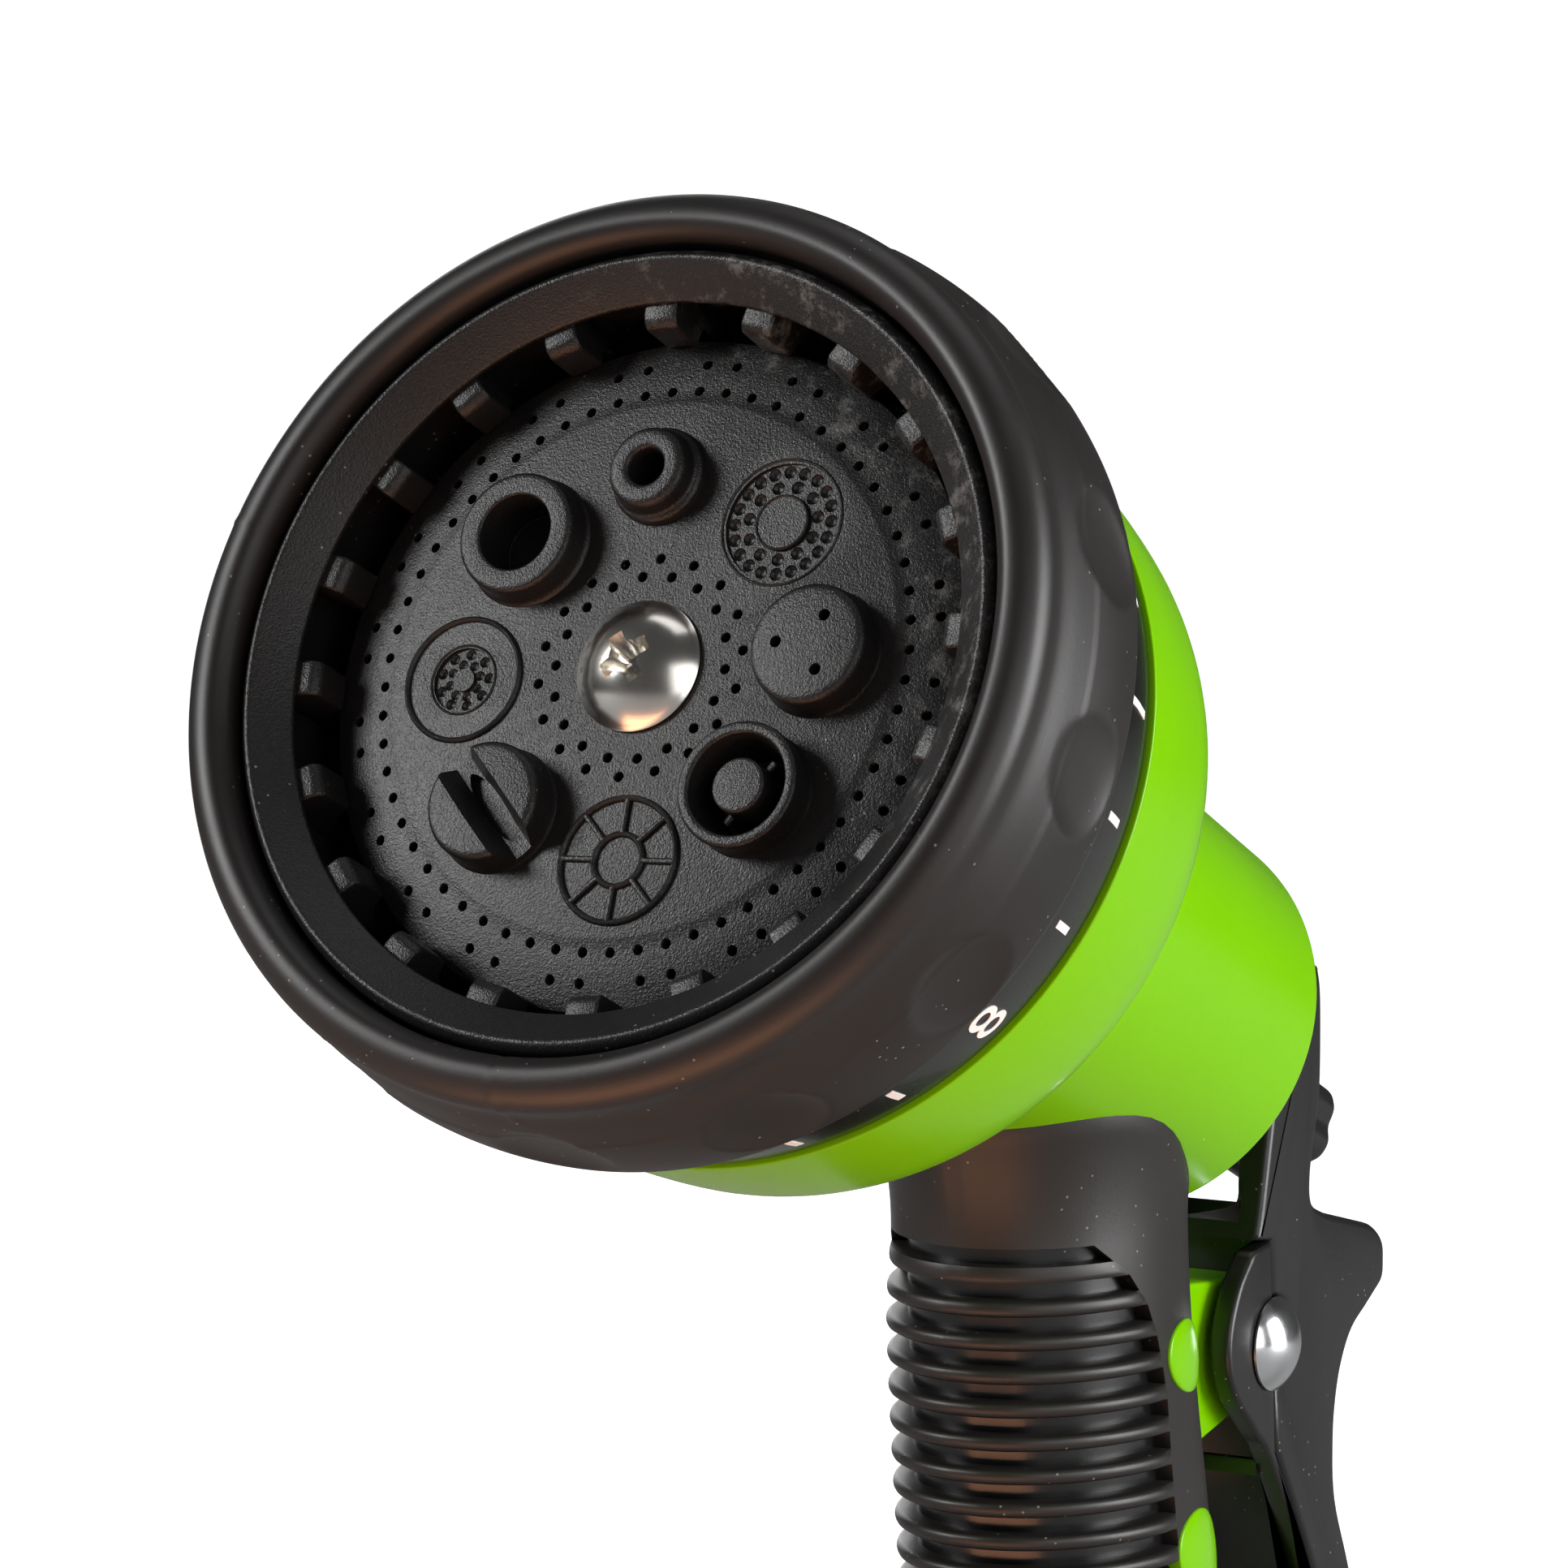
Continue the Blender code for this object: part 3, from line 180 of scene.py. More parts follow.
def pile(*shapes):
    """Several (vertices, faces) shapes as one."""
    starts = np.cumsum([0] + [len(vertices) for vertices, _ in shapes[:-1]])
    return (
        np.concatenate([vertices for vertices, _ in shapes]),
        np.concatenate([faces + start for (_, faces), start in zip(shapes, starts)]),
    )


def lathe(profile, steps=128, closed=True, at=(0.0, 0.0)):
    """A profile of (r, z) turned about z through `at`: x = r cos u, y = r sin u, z = z."""
    profile = np.asarray(profile, float)
    turn = np.linspace(0.0, 2 * np.pi, steps, endpoint=False)
    radius, height = profile[:, :1], profile[:, 1:]
    x = radius * np.cos(turn) + at[0]
    y = radius * np.sin(turn) + at[1]
    z = np.broadcast_to(height, x.shape)
    return skin(np.stack([x, y, z], axis=2), wrap_rows=closed, wrap_columns=True)


def rounded(corners, radii, steps=5):
    """Open outline with each inner corner p eased by the curve (1-t)^2 a + 2t(1-t) p + t^2 b.

    a and b lie on the two sides, at the corner's radius from p or at half the side's length.
    """
    corners = np.asarray(corners, float)
    radii = np.broadcast_to(np.asarray(radii, float), (len(corners),))
    before = corners[:-2] - corners[1:-1]
    after = corners[2:] - corners[1:-1]
    length_before = np.linalg.norm(before, axis=1, keepdims=True)
    length_after = np.linalg.norm(after, axis=1, keepdims=True)
    reach = radii[1:-1, None]
    a = corners[1:-1] + before / length_before * np.minimum(reach, length_before * 0.49)
    b = corners[1:-1] + after / length_after * np.minimum(reach, length_after * 0.49)
    t = np.linspace(0.0, 1.0, steps)[None, :, None]
    eased = (1 - t) ** 2 * a[:, None] + 2 * t * (1 - t) * corners[1:-1, None] + t**2 * b[:, None]
    return np.concatenate([corners[:1], eased.reshape(-1, corners.shape[1]), corners[-1:]])


def rounded_loop(corners, radii, steps=5):
    """The same easing on a closed outline."""
    corners = np.asarray(corners, float)
    radii = np.broadcast_to(np.asarray(radii, float), (len(corners),))
    around = np.concatenate([corners[-1:], corners, corners[:1]])
    wide = np.concatenate([radii[-1:], radii, radii[:1]])
    return rounded(around, wide, steps)[1:-1]


def smooth_line(points, steps=6):
    """Catmull-Rom line: between b and c it is b + ((c-a)t + (2a-5b+4c-d)t^2 + (3b-a-3c+d)t^3) / 2."""
    knots = np.asarray(points, float)
    knots = np.concatenate([knots[:1], knots, knots[-1:]])
    a, b, c, d = knots[:-3, None], knots[1:-2, None], knots[2:-1, None], knots[3:, None]
    t = np.linspace(0.0, 1.0, steps, endpoint=False)[None, :, None]
    bend = (2 * a - 5 * b + 4 * c - d) * t**2 + (3 * b - a - 3 * c + d) * t**3
    line = b + 0.5 * ((c - a) * t + bend)
    return np.concatenate([line.reshape(-1, knots.shape[1]), knots[-1:]])


def arc(centre, radius, start, end, steps=8):
    """Points of a circle from one angle to another, in degrees."""
    turn = np.radians(np.linspace(start, end, steps))
    return np.stack([centre[0] + radius * np.cos(turn), centre[1] + radius * np.sin(turn)], axis=1)


def inset(outline, distance):
    """Closed outline moved inwards along the mean normal of its two sides at each point."""
    before = outline - np.roll(outline, 1, axis=0)
    after = np.roll(outline, -1, axis=0) - outline
    before /= np.linalg.norm(before, axis=1, keepdims=True) + 1e-9
    after /= np.linalg.norm(after, axis=1, keepdims=True) + 1e-9
    along = before + after
    along /= np.linalg.norm(along, axis=1, keepdims=True) + 1e-9
    x, y = outline[:, 0], outline[:, 1]
    area = np.sum(x * np.roll(y, -1) - np.roll(x, -1) * y)
    inward = np.stack([-along[:, 1], along[:, 0]], axis=1) * np.sign(area)
    return outline + inward * distance


def slab(outline, low, high, edge=0.0, steps=5):
    """Outline of (y, z) carried along x, its two rims rounded by a quarter circle of radius `edge`.

    Returns the rings of points, one for each step across; slab_mesh makes the sides and the end faces.
    """
    if edge > 0.0:
        quarter = np.linspace(0.0, np.pi / 2, steps)
        across = np.concatenate([low + edge * (1 - np.cos(quarter)), high - edge * (1 - np.cos(quarter[::-1]))])
        inward = np.concatenate([edge * (1 - np.sin(quarter)), edge * (1 - np.sin(quarter[::-1]))])
    else:
        across = np.array([low, high])
        inward = np.zeros(2)
    rings = [inset(outline, step) for step in inward]
    points = np.stack([np.column_stack([np.full(len(r), x), r]) for x, r in zip(across, rings)])
    return points


def sphere(centre, radius, steps=12):
    """Ball: rows of latitude v and columns of longitude u, joined at the poles."""
    v = np.linspace(-np.pi / 2, np.pi / 2, steps // 2 + 1)[:, None]
    u = np.linspace(0.0, 2 * np.pi, steps, endpoint=False)[None, :]
    x = centre[0] + radius * np.cos(v) * np.cos(u)
    y = centre[1] + radius * np.cos(v) * np.sin(u)
    z = centre[2] + radius * np.sin(v) + 0 * u
    return skin(np.stack([x, y, z], axis=2), wrap_columns=True)


def to_head(shape):
    """Head frame (x right, y up the plate, z along the spray) turned into the row frame."""
    vertices, faces = shape
    x, y, z = vertices.T
    row_y = DIAL_CENTRE[1] + y * TILT_SIN - z * TILT_COS
    row_z = DIAL_CENTRE[2] + y * TILT_COS + z * TILT_SIN
    return np.stack([DIAL_CENTRE[0] + x, row_y, row_z], axis=1), faces


def to_pivot(shape):
    vertices, faces = shape
    return vertices + PIVOT, faces


def polar(radius, degrees):
    angle = np.radians(degrees)
    return radius * np.cos(angle), radius * np.sin(angle)


# --- meshes and objects --------------------------------------------------------------------
def to_mesh(name, shape, ends=()):
    """A mesh in metres from (vertices, faces) in millimetres, with doubles merged and normals out."""
    vertices, faces = shape
    mesh = bpy.data.meshes.new(name)
    mesh.from_pydata((vertices * MM).tolist(), [], faces.tolist() + [list(end) for end in ends])
    work = bmesh.new()
    work.from_mesh(mesh)
    bmesh.ops.remove_doubles(work, verts=work.verts, dist=1e-7)
    bmesh.ops.recalc_face_normals(work, faces=work.faces)
    work.to_mesh(mesh)
    work.free()
    return mesh


def slab_mesh(name, points):
    """Closed mesh of a slab's rings, with its two end faces."""
    rings, around = points.shape[:2]
    ends = (range(around), range((rings - 1) * around, rings * around))
    return to_mesh(name, skin(points, wrap_columns=True), ends)


def piece(name, mesh, body, finish, replaced=(), crease=35.0):
    """Places a mesh as one piece of the nozzle: smooth apart from edges sharper than `crease`."""
    obj = bpy.data.objects.new(name, mesh)
    bpy.context.scene.collection.objects.link(obj)
    mesh.materials.clear()
    mesh.materials.append(finish)
    mesh.polygons.foreach_set("use_smooth", np.ones(len(mesh.polygons), bool))
    mesh.set_sharp_from_angle(angle=math.radians(crease))
    mesh.update()
    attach(obj, body)
    if replaced:
        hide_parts(*replaced)
    return obj


def carved(mesh, cutters, operation="DIFFERENCE"):
    """The mesh with each cutter mesh taken away from it, or added to it."""
    scene = bpy.context.scene
    block = bpy.data.objects.new("block", mesh)
    scene.collection.objects.link(block)
    tools = []
    for cutter in cutters:
        tool = bpy.data.objects.new("tool", cutter)
        scene.collection.objects.link(tool)
        modifier = block.modifiers.new("Carve", "BOOLEAN")
        modifier.operation = operation
        modifier.solver = "EXACT"
        modifier.object = tool
        tools.append(tool)
    bpy.context.view_layer.update()
    graph = bpy.context.evaluated_depsgraph_get()
    result = bpy.data.meshes.new_from_object(block.evaluated_get(graph))
    result.name = mesh.name
    for used in [block, *tools]:
        data = used.data
        bpy.data.objects.remove(used, do_unlink=True)
        bpy.data.meshes.remove(data)
    return result


# --- material node groups ------------------------------------------------------------------
def new_group(name, inputs, outputs):
    """An empty node group. Inputs are (name, default); outputs are (name, socket type)."""
    group = bpy.data.node_groups.new(name, "ShaderNodeTree")
    for label, value in inputs:
        kind = "NodeSocketColor" if isinstance(value, tuple) else "NodeSocketFloat"
        socket = group.interface.new_socket(name=label, in_out="INPUT", socket_type=kind)
        socket.default_value = value
    for label, kind in outputs:
        group.interface.new_socket(name=label, in_out="OUTPUT", socket_type=kind)
    start = group.nodes.new("NodeGroupInput")
    end = group.nodes.new("NodeGroupOutput")
    return group, start, end


def add(tree, kind, wires=None, **settings):
    """A node with its settings, and its inputs wired or given values by index or name."""
    node = tree.nodes.new(kind)
    for key, value in settings.items():
        setattr(node, key, value)
    for key, value in (wires or {}).items():
        if isinstance(value, bpy.types.NodeSocket):
            tree.links.new(value, node.inputs[key])
        else:
            node.inputs[key].default_value = value
    return node


def grain_group():
    """Fine moulded grain: a small noise plus a smaller cell pattern, as a height and a mask."""
    group, start, end = new_group(
        "Moulded Grain",
        [("Scale", 1800.0), ("Cells", 0.35)],
        [("Height", "NodeSocketFloat"), ("Mask", "NodeSocketFloat")],
    )
    where = add(group, "ShaderNodeTexCoord")
    noise = add(
        group,
        "ShaderNodeTexNoise",
        {"Vector": where.outputs["Object"], "Scale": start.outputs["Scale"], "Detail": 3.0, "Roughness": 0.6},
    )
    finer = add(group, "ShaderNodeMath", {0: start.outputs["Scale"], 1: 1.7}, operation="MULTIPLY")
    cells = add(
        group, "ShaderNodeTexVoronoi", {"Vector": where.outputs["Object"], "Scale": finer.outputs[0]}
    )
    weighted = add(
        group, "ShaderNodeMath", {0: cells.outputs["Distance"], 1: start.outputs["Cells"]}, operation="MULTIPLY"
    )
    height = add(group, "ShaderNodeMath", {0: noise.outputs["Fac"], 1: weighted.outputs[0]}, operation="ADD")
    group.links.new(height.outputs[0], end.inputs["Height"])
    group.links.new(noise.outputs["Fac"], end.inputs["Mask"])
    return group


def dust_group():
    """Dust: fine pale specks where a cell's centre is near and a broad noise lets it settle."""
    group, start, end = new_group(
        "Settled Dust", [("Scale", 900.0), ("Size", 0.10), ("Amount", 0.5)], [("Mask", "NodeSocketFloat")]
    )
    where = add(group, "ShaderNodeTexCoord")
    cells = add(
        group,
        "ShaderNodeTexVoronoi",
        {"Vector": where.outputs["Object"], "Scale": start.outputs["Scale"], "Randomness": 1.0},
    )
    near = add(
        group, "ShaderNodeMath", {0: cells.outputs["Distance"], 1: start.outputs["Size"]}, operation="LESS_THAN"
    )
    broad = add(
        group,
        "ShaderNodeTexNoise",
        {"Vector": where.outputs["Object"], "Scale": 90.0, "Detail": 4.0, "Roughness": 0.7},
    )
    limit = add(group, "ShaderNodeMath", {0: 1.0, 1: start.outputs["Amount"]}, operation="SUBTRACT")
    settled = add(
        group, "ShaderNodeMath", {0: broad.outputs["Fac"], 1: limit.outputs[0]}, operation="GREATER_THAN"
    )
    mask = add(group, "ShaderNodeMath", {0: near.outputs[0], 1: settled.outputs[0]}, operation="MULTIPLY")
    group.links.new(mask.outputs[0], end.inputs["Mask"])
    return group


def handling_group():
    """Uneven sheen from handling: a broad soft noise that shifts the roughness both ways."""
    group, start, end = new_group(
        "Handling Sheen",
        [("Roughness", 0.4), ("Spread", 0.1), ("Scale", 60.0)],
        [("Roughness", "NodeSocketFloat"), ("Tone", "NodeSocketFloat")],
    )
    where = add(group, "ShaderNodeTexCoord")
    noise = add(
        group,
        "ShaderNodeTexNoise",
        {"Vector": where.outputs["Object"], "Scale": start.outputs["Scale"], "Detail": 5.0, "Roughness": 0.62},
    )
    centred = add(group, "ShaderNodeMath", {0: noise.outputs["Fac"], 1: 0.5}, operation="SUBTRACT")
    shift = add(
        group,
        "ShaderNodeMath",
        {0: centred.outputs[0], 1: start.outputs["Spread"], 2: start.outputs["Roughness"]},
        operation="MULTIPLY_ADD",
    )
    group.links.new(shift.outputs[0], end.inputs["Roughness"])
    group.links.new(noise.outputs["Fac"], end.inputs["Tone"])
    return group


def scratches_group():
    """Hairlines: a noise stretched far along one direction and cut to its crests."""
    group, start, end = new_group(
        "Hairlines", [("Scale", 900.0), ("Depth", 1.0)], [("Height", "NodeSocketFloat")]
    )
    where = add(group, "ShaderNodeTexCoord")
    stretch = add(
        group, "ShaderNodeMapping", {"Vector": where.outputs["Object"], "Scale": (1.0, 0.06, 0.25)}
    )
    stretch.inputs["Rotation"].default_value = (0.3, 0.2, 0.9)
    noise = add(
        group,
        "ShaderNodeTexNoise",
        {"Vector": stretch.outputs[0], "Scale": start.outputs["Scale"], "Detail": 4.0, "Roughness": 0.7},
    )
    height = add(
        group, "ShaderNodeMath", {0: noise.outputs["Fac"], 1: start.outputs["Depth"]}, operation="MULTIPLY"
    )
    group.links.new(height.outputs[0], end.inputs["Height"])
    return group


GROUPS = {}


def group_node(tree, name, **values):
    """One shared group placed in a material with its own values."""
    makers = {
        "grain": grain_group,
        "dust": dust_group,
        "handling": handling_group,
        "hairlines": scratches_group,
    }
    if name not in GROUPS:
        GROUPS[name] = makers[name]()
    node = tree.nodes.new("ShaderNodeGroup")
    node.node_tree = GROUPS[name]
    for key, value in values.items():
        node.inputs[key.capitalize()].default_value = value
    return node


def new_material(name):
    material = bpy.data.materials.new(name)
    material.use_nodes = True
    return material, material.node_tree, material.node_tree.nodes["Principled BSDF"]


def moulded(
    name,
    base,
    roughness,
    spread=0.12,
    grain=1800.0,
    bump=0.2,
    depth=0.00004,
    dust=0.45,
    dust_colour=(0.20, 0.19, 0.18),
    tone=0.25,
    coat=0.0,
    specular=0.5,
):
    """Moulded plastic or rubber: grain in the bump, uneven sheen, a little settled dust."""
    material, tree, shader = new_material(name)
    sheen = group_node(tree, "handling", roughness=roughness, spread=spread)
    tree.links.new(sheen.outputs["Roughness"], shader.inputs["Roughness"])
    darker = tuple(channel * (1.0 - tone) for channel in base)
    lighter = tuple(min(1.0, channel * (1.0 + tone)) for channel in base)
    body = mix_colours(tree, sheen.outputs["Tone"], darker, lighter)
    specks = group_node(tree, "dust", amount=dust)
    surface = mix_colours(tree, specks.outputs["Mask"], body, dust_colour)
    tree.links.new(surface, shader.inputs["Base Color"])
    texture = group_node(tree, "grain", scale=grain)
    raised = add(
        tree, "ShaderNodeBump", {"Height": texture.outputs["Height"], "Strength": bump, "Distance": depth}
    )
    tree.links.new(raised.outputs["Normal"], shader.inputs["Normal"])
    shader.inputs["Coat Weight"].default_value = coat
    shader.inputs["Coat Roughness"].default_value = 0.06
    shader.inputs["Specular IOR Level"].default_value = specular
    return material


def mix_colours(tree, factor, first, second):
    """Colour socket between two colours or sockets, by a factor socket."""
    node = tree.nodes.new("ShaderNodeMix")
    node.data_type = "RGBA"
    tree.links.new(factor, node.inputs[0])
    for value, socket in ((first, node.inputs[6]), (second, node.inputs[7])):
        if isinstance(value, bpy.types.NodeSocket):
            tree.links.new(value, socket)
        else:
            socket.default_value = (*value, 1.0)
    return node.outputs[2]


def metal(name, base, roughness, hairlines=900.0, bump=0.08):
    """Plated or turned metal: hairlines in the bump and an uneven sheen."""
    material, tree, shader = new_material(name)
    shader.inputs["Metallic"].default_value = 1.0
    sheen = group_node(tree, "handling", roughness=roughness, spread=roughness, scale=240.0)
    tree.links.new(sheen.outputs["Roughness"], shader.inputs["Roughness"])
    dull = tuple(channel * 0.86 for channel in base)
    tree.links.new(mix_colours(tree, sheen.outputs["Tone"], base, dull), shader.inputs["Base Color"])
    lines = group_node(tree, "hairlines", scale=hairlines)
    raised = add(
        tree, "ShaderNodeBump", {"Height": lines.outputs["Height"], "Strength": bump, "Distance": 0.00002}
    )
    tree.links.new(raised.outputs["Normal"], shader.inputs["Normal"])
    return material


def plate_material(base):
    """Spark-eroded plate black, with a painted pale highlight in patches on the rim's upper right, between the holes.
    """
    material = moulded("Plate Black", base, 0.38, grain=4200.0, bump=0.85, depth=0.00007, tone=0.18, dust=0.42)
    tree = material.node_tree
    shader = tree.nodes["Principled BSDF"]
    where = add(tree, "ShaderNodeTexCoord")
    centre = tuple(DIAL_CENTRE * MM)
    from_centre = add(
        tree, "ShaderNodeVectorMath", {0: where.outputs["Object"], 1: centre}, operation="SUBTRACT"
    )
    out = add(tree, "ShaderNodeVectorMath", {0: from_centre.outputs[0]}, operation="LENGTH")
    band = add(
        tree,
        "ShaderNodeMapRange",
        {"Value": out.outputs["Value"], "From Min": 0.0215, "From Max": 0.0245},
        interpolation_type="SMOOTHSTEP",
    )
    # Painted highlight: the rim band is lightened on its upper right side, where the light falls, and broken into
    # patches by a noise.
    upper_right = (0.82, 0.57 * TILT_SIN, 0.57 * TILT_COS)
    side = add(
        tree, "ShaderNodeVectorMath", {0: from_centre.outputs[0], 1: upper_right}, operation="DOT_PRODUCT"
    )
    lit = add(
        tree,
        "ShaderNodeMapRange",
        {"Value": side.outputs["Value"], "From Min": 0.004, "From Max": 0.024},
        interpolation_type="SMOOTHSTEP",
    )
    patches = add(
        tree,
        "ShaderNodeTexNoise",
        {"Vector": where.outputs["Object"], "Scale": 420.0, "Detail": 8.0, "Roughness": 0.78},
    )
    crests = add(
        tree,
        "ShaderNodeMapRange",
        {"Value": patches.outputs["Fac"], "From Min": 0.52, "From Max": 0.70},
    )
    settled = add(tree, "ShaderNodeMath", {0: band.outputs[0], 1: lit.outputs[0]}, operation="MULTIPLY")
    amount = add(
        tree, "ShaderNodeMath", {0: settled.outputs[0], 1: crests.outputs[0]}, operation="MULTIPLY"
    )
    old = shader.inputs["Base Color"].links[0].from_socket
    # Mixes the painted pale highlight into the plate's colour.
    tree.links.new(mix_colours(tree, amount.outputs[0], old, (0.17, 0.17, 0.165)), shader.inputs["Base Color"])
    return material


FINISH = {}


def make_finishes(chosen):
    """Every finish once, from the chosen colours."""
    green = tuple(chosen.green)
    FINISH["green"] = moulded(
        "Lime Green", green, 0.22, 0.08, 260.0, 0.035, 0.00004, 0.30, (0.55, 0.75, 0.35), 0.035, coat=0.03, specular=0.18
    )
    FINISH["plate_black"] = plate_material(tuple(chosen.plate))
    FINISH["rubber_black"] = moulded(
        "Soft Rubber", tuple(chosen.rubber), 0.45, 0.16, 2600.0, 0.22, 0.00004, 0.47, (0.16, 0.15, 0.14)
    )
    FINISH["gloss_black"] = moulded(
        "Gloss Black", tuple(chosen.gloss), 0.27, 0.16, 300.0, 0.06, 0.00003, 0.40, (0.12, 0.12, 0.12), coat=0.15
    )
    FINISH["satin_black"] = moulded(
        "Satin Black", tuple(chosen.satin), 0.36, 0.14, 2200.0, 0.16, 0.00004, 0.45, (0.16, 0.15, 0.15)
    )
    FINISH["ink"] = moulded("Dial Ink", tuple(chosen.ink), 0.45, 0.1, 2600.0, 0.05, 0.00001, 0.0)
    FINISH["nickel"] = metal("Nickel Plate", tuple(chosen.nickel), 0.22, 1200.0, 0.16)
    FINISH["aluminium"] = metal("Bright Aluminium", tuple(chosen.aluminium), 0.20, 1500.0, 0.12)
    FINISH["steel"] = metal("Spring Steel", tuple(chosen.steel), 0.28)
    FINISH["brass"] = metal("Turned Brass", tuple(chosen.brass), 0.26)
    FINISH["seal"] = moulded("Seal Rubber", tuple(chosen.seal), 0.6, 0.1, 2400.0, 0.15)
    FINISH["acetal"] = moulded("White Acetal", tuple(chosen.acetal), 0.45, 0.1, 1400.0, 0.08, dust=0.0)
    FINISH["backdrop"] = backdrop_material(tuple(chosen.backdrop))


def backdrop_material(base):
    """Pale paper, seen evenly lit, that throws only its own weak bounce on to the nozzle."""
    material, tree, shader = new_material("Backdrop Paper")
    sheen = group_node(tree, "handling", roughness=0.9, spread=0.05, scale=3.0)
    tree.links.new(sheen.outputs["Roughness"], shader.inputs["Roughness"])
    shade = tuple(channel * 0.985 for channel in base)
    tree.links.new(mix_colours(tree, sheen.outputs["Tone"], base, shade), shader.inputs["Base Color"])
    rays = add(tree, "ShaderNodeLightPath")
    glow = mix_colours(tree, rays.outputs["Is Camera Ray"], (0.0, 0.0, 0.0), (1.0, 1.0, 1.0))
    tree.links.new(glow, shader.inputs["Emission Color"])
    shader.inputs["Emission Strength"].default_value = 1.0
    return material


# --- dial ----------------------------------------------------------------------------------
def rim_height(radius, dial):
    """Height of the plate's surface: flat, then falling away in a shallow crown to the rim."""
    out = np.clip((radius - dial.flat_radius) / (dial.plate_radius - dial.flat_radius), 0.0, 1.0)
    return -0.22 * np.clip(out / 0.16, 0.0, 1.0) - 1.25 * out**1.7


def hole_rings(dial):
    """Centres of all pinholes: two staggered rings round the screw and two near the rim."""
    rings = []
    inner = np.arange(18) * 20.0
    outer = np.arange(60) * 6.0
    rings.append((8.98, 111.4 - inner))
    rings.append((7.57, 101.4 - inner))
    rings.append((23.16, 114.4 + outer))
    tab_angles = dial.first_outlet + np.arange(dial.tabs) * 360.0 / dial.tabs
    from_tab = np.abs((outer[:, None] + 114.4 - tab_angles[None, :] + 180.0) % 360.0 - 180.0)
    rings.append((25.53, (114.4 + outer)[from_tab.min(axis=1) > 3.1]))
    radius = np.concatenate([np.full(len(angles), r) for r, angles in rings])
    angle = np.radians(np.concatenate([angles for _, angles in rings]))
    return np.stack([radius * np.cos(angle), radius * np.sin(angle), rim_height(radius, dial)], axis=1)


def pin_cutters(centres, radius, depth, steps=10):
    """Countersunk pits, one at each centre: the profile (r, z) turned and copied by adding centres."""
    profile = [(0.0, -depth), (radius, -depth), (radius, -0.06), (radius + 0.05, 0.0), (radius + 0.05, 0.9), (0.0, 0.9)]
    vertices, faces = lathe(profile, steps, closed=False)
    moved = vertices[None, :, :] + centres[:, None, :]
    shift = np.arange(len(centres))[:, None, None] * len(vertices)
    return moved.reshape(-1, 3), (faces[None] + shift).reshape(-1, 4)


def ball_cutters(centres, radius, sunk):
    """Round pits: balls whose lowest point lies `sunk` under each centre."""
    vertices, faces = sphere((0.0, 0.0, radius - sunk), radius, 12)
    moved = vertices[None, :, :] + centres[:, None, :]
    shift = np.arange(len(centres))[:, None, None] * len(vertices)
    return moved.reshape(-1, 3), (faces[None] + shift).reshape(-1, 4)


def circle_of(number, radius, centre, start=0.0, height=0.0):
    """Evenly spaced points on a circle round a centre on the plate."""
    turn = np.radians(start + np.arange(number) * 360.0 / number)
    x = centre[0] + radius * np.cos(turn)
    y = centre[1] + radius * np.sin(turn)
    return np.stack([x, y, np.full(number, height)], axis=1)


def outlet(dial, index):
    return polar(dial.outlet_pitch, dial.first_outlet + index * 360.0 / OUTLETS)


def plate_mesh(dial):
    """The spray plate, turned and then pierced by its pinholes, wells and dimples."""
    radii = np.concatenate([[3.4, dial.flat_radius], np.linspace(dial.flat_radius + 0.35, dial.plate_radius - 0.3, 12)])
    top = np.stack([radii, rim_height(radii, dial)], axis=1)
    edge = arc((dial.plate_radius - 0.35, rim_height(dial.plate_radius, dial) - 0.5), 0.35, 60, 0, 4)
    profile = np.concatenate([top, edge, [(dial.plate_radius, -3.6), (3.4, -3.6)]])
    plate = to_mesh("spray_plate_face", lathe(profile, 180))
    wells = [
        pin_cutters(np.array([[*outlet(dial, index), 0.0]]), dial.boss_radius * share, 2.4, 32)
        for index, share in ((2, 0.5), (3, 0.75), (7, 0.85))
    ]
    shower = outlet(dial, 1)
    small = outlet(dial, 4)
    ring_recess = lathe([(2.25, -0.22), (4.85, -0.22), (4.95, 0.6), (2.2, 0.6)], 64, at=shower)
    small_recess = lathe([(0.95, -0.25), (2.65, -0.25), (2.72, 0.6), (0.9, 0.6)], 48, at=small)
    outer_pits = pile(
        ball_cutters(circle_of(20, 4.22, shower, 4.0, -0.22), 0.60, 0.42),
        ball_cutters(circle_of(9, 2.17, small, 8.0, -0.25), 0.50, 0.36),
    )
    inner_pits = pile(
        ball_cutters(circle_of(11, 3.02, shower, 12.0, -0.22), 0.60, 0.42),
        ball_cutters(circle_of(8, 1.36, small, 20.0, -0.25), 0.46, 0.30),
    )
    pins = pin_cutters(hole_rings(dial), dial.pinhole_radius, 1.5)
    shapes = (pins, *wells, ring_recess, small_recess, outer_pits, inner_pits)
    return carved(plate, [to_mesh("cutter", shape) for shape in shapes])


def boss_profile(radius, height, bore, floor, lip=0.7, foot=0.3):
    """Half section of a tubular boss: flared foot, side, rounded lip, bore and its floor."""
    corners = [
        (radius + foot, -0.4),
        (radius + foot, 0.0),
        (radius, 0.35),
        (radius - 0.12, height),
        (bore, height),
        (bore, floor),
        (0.0, floor),
    ]
    return rounded(corners, [0.0, 0.15, 0.3, lip, min(lip * 0.5, 0.4), 0.1, 0.0], 6)


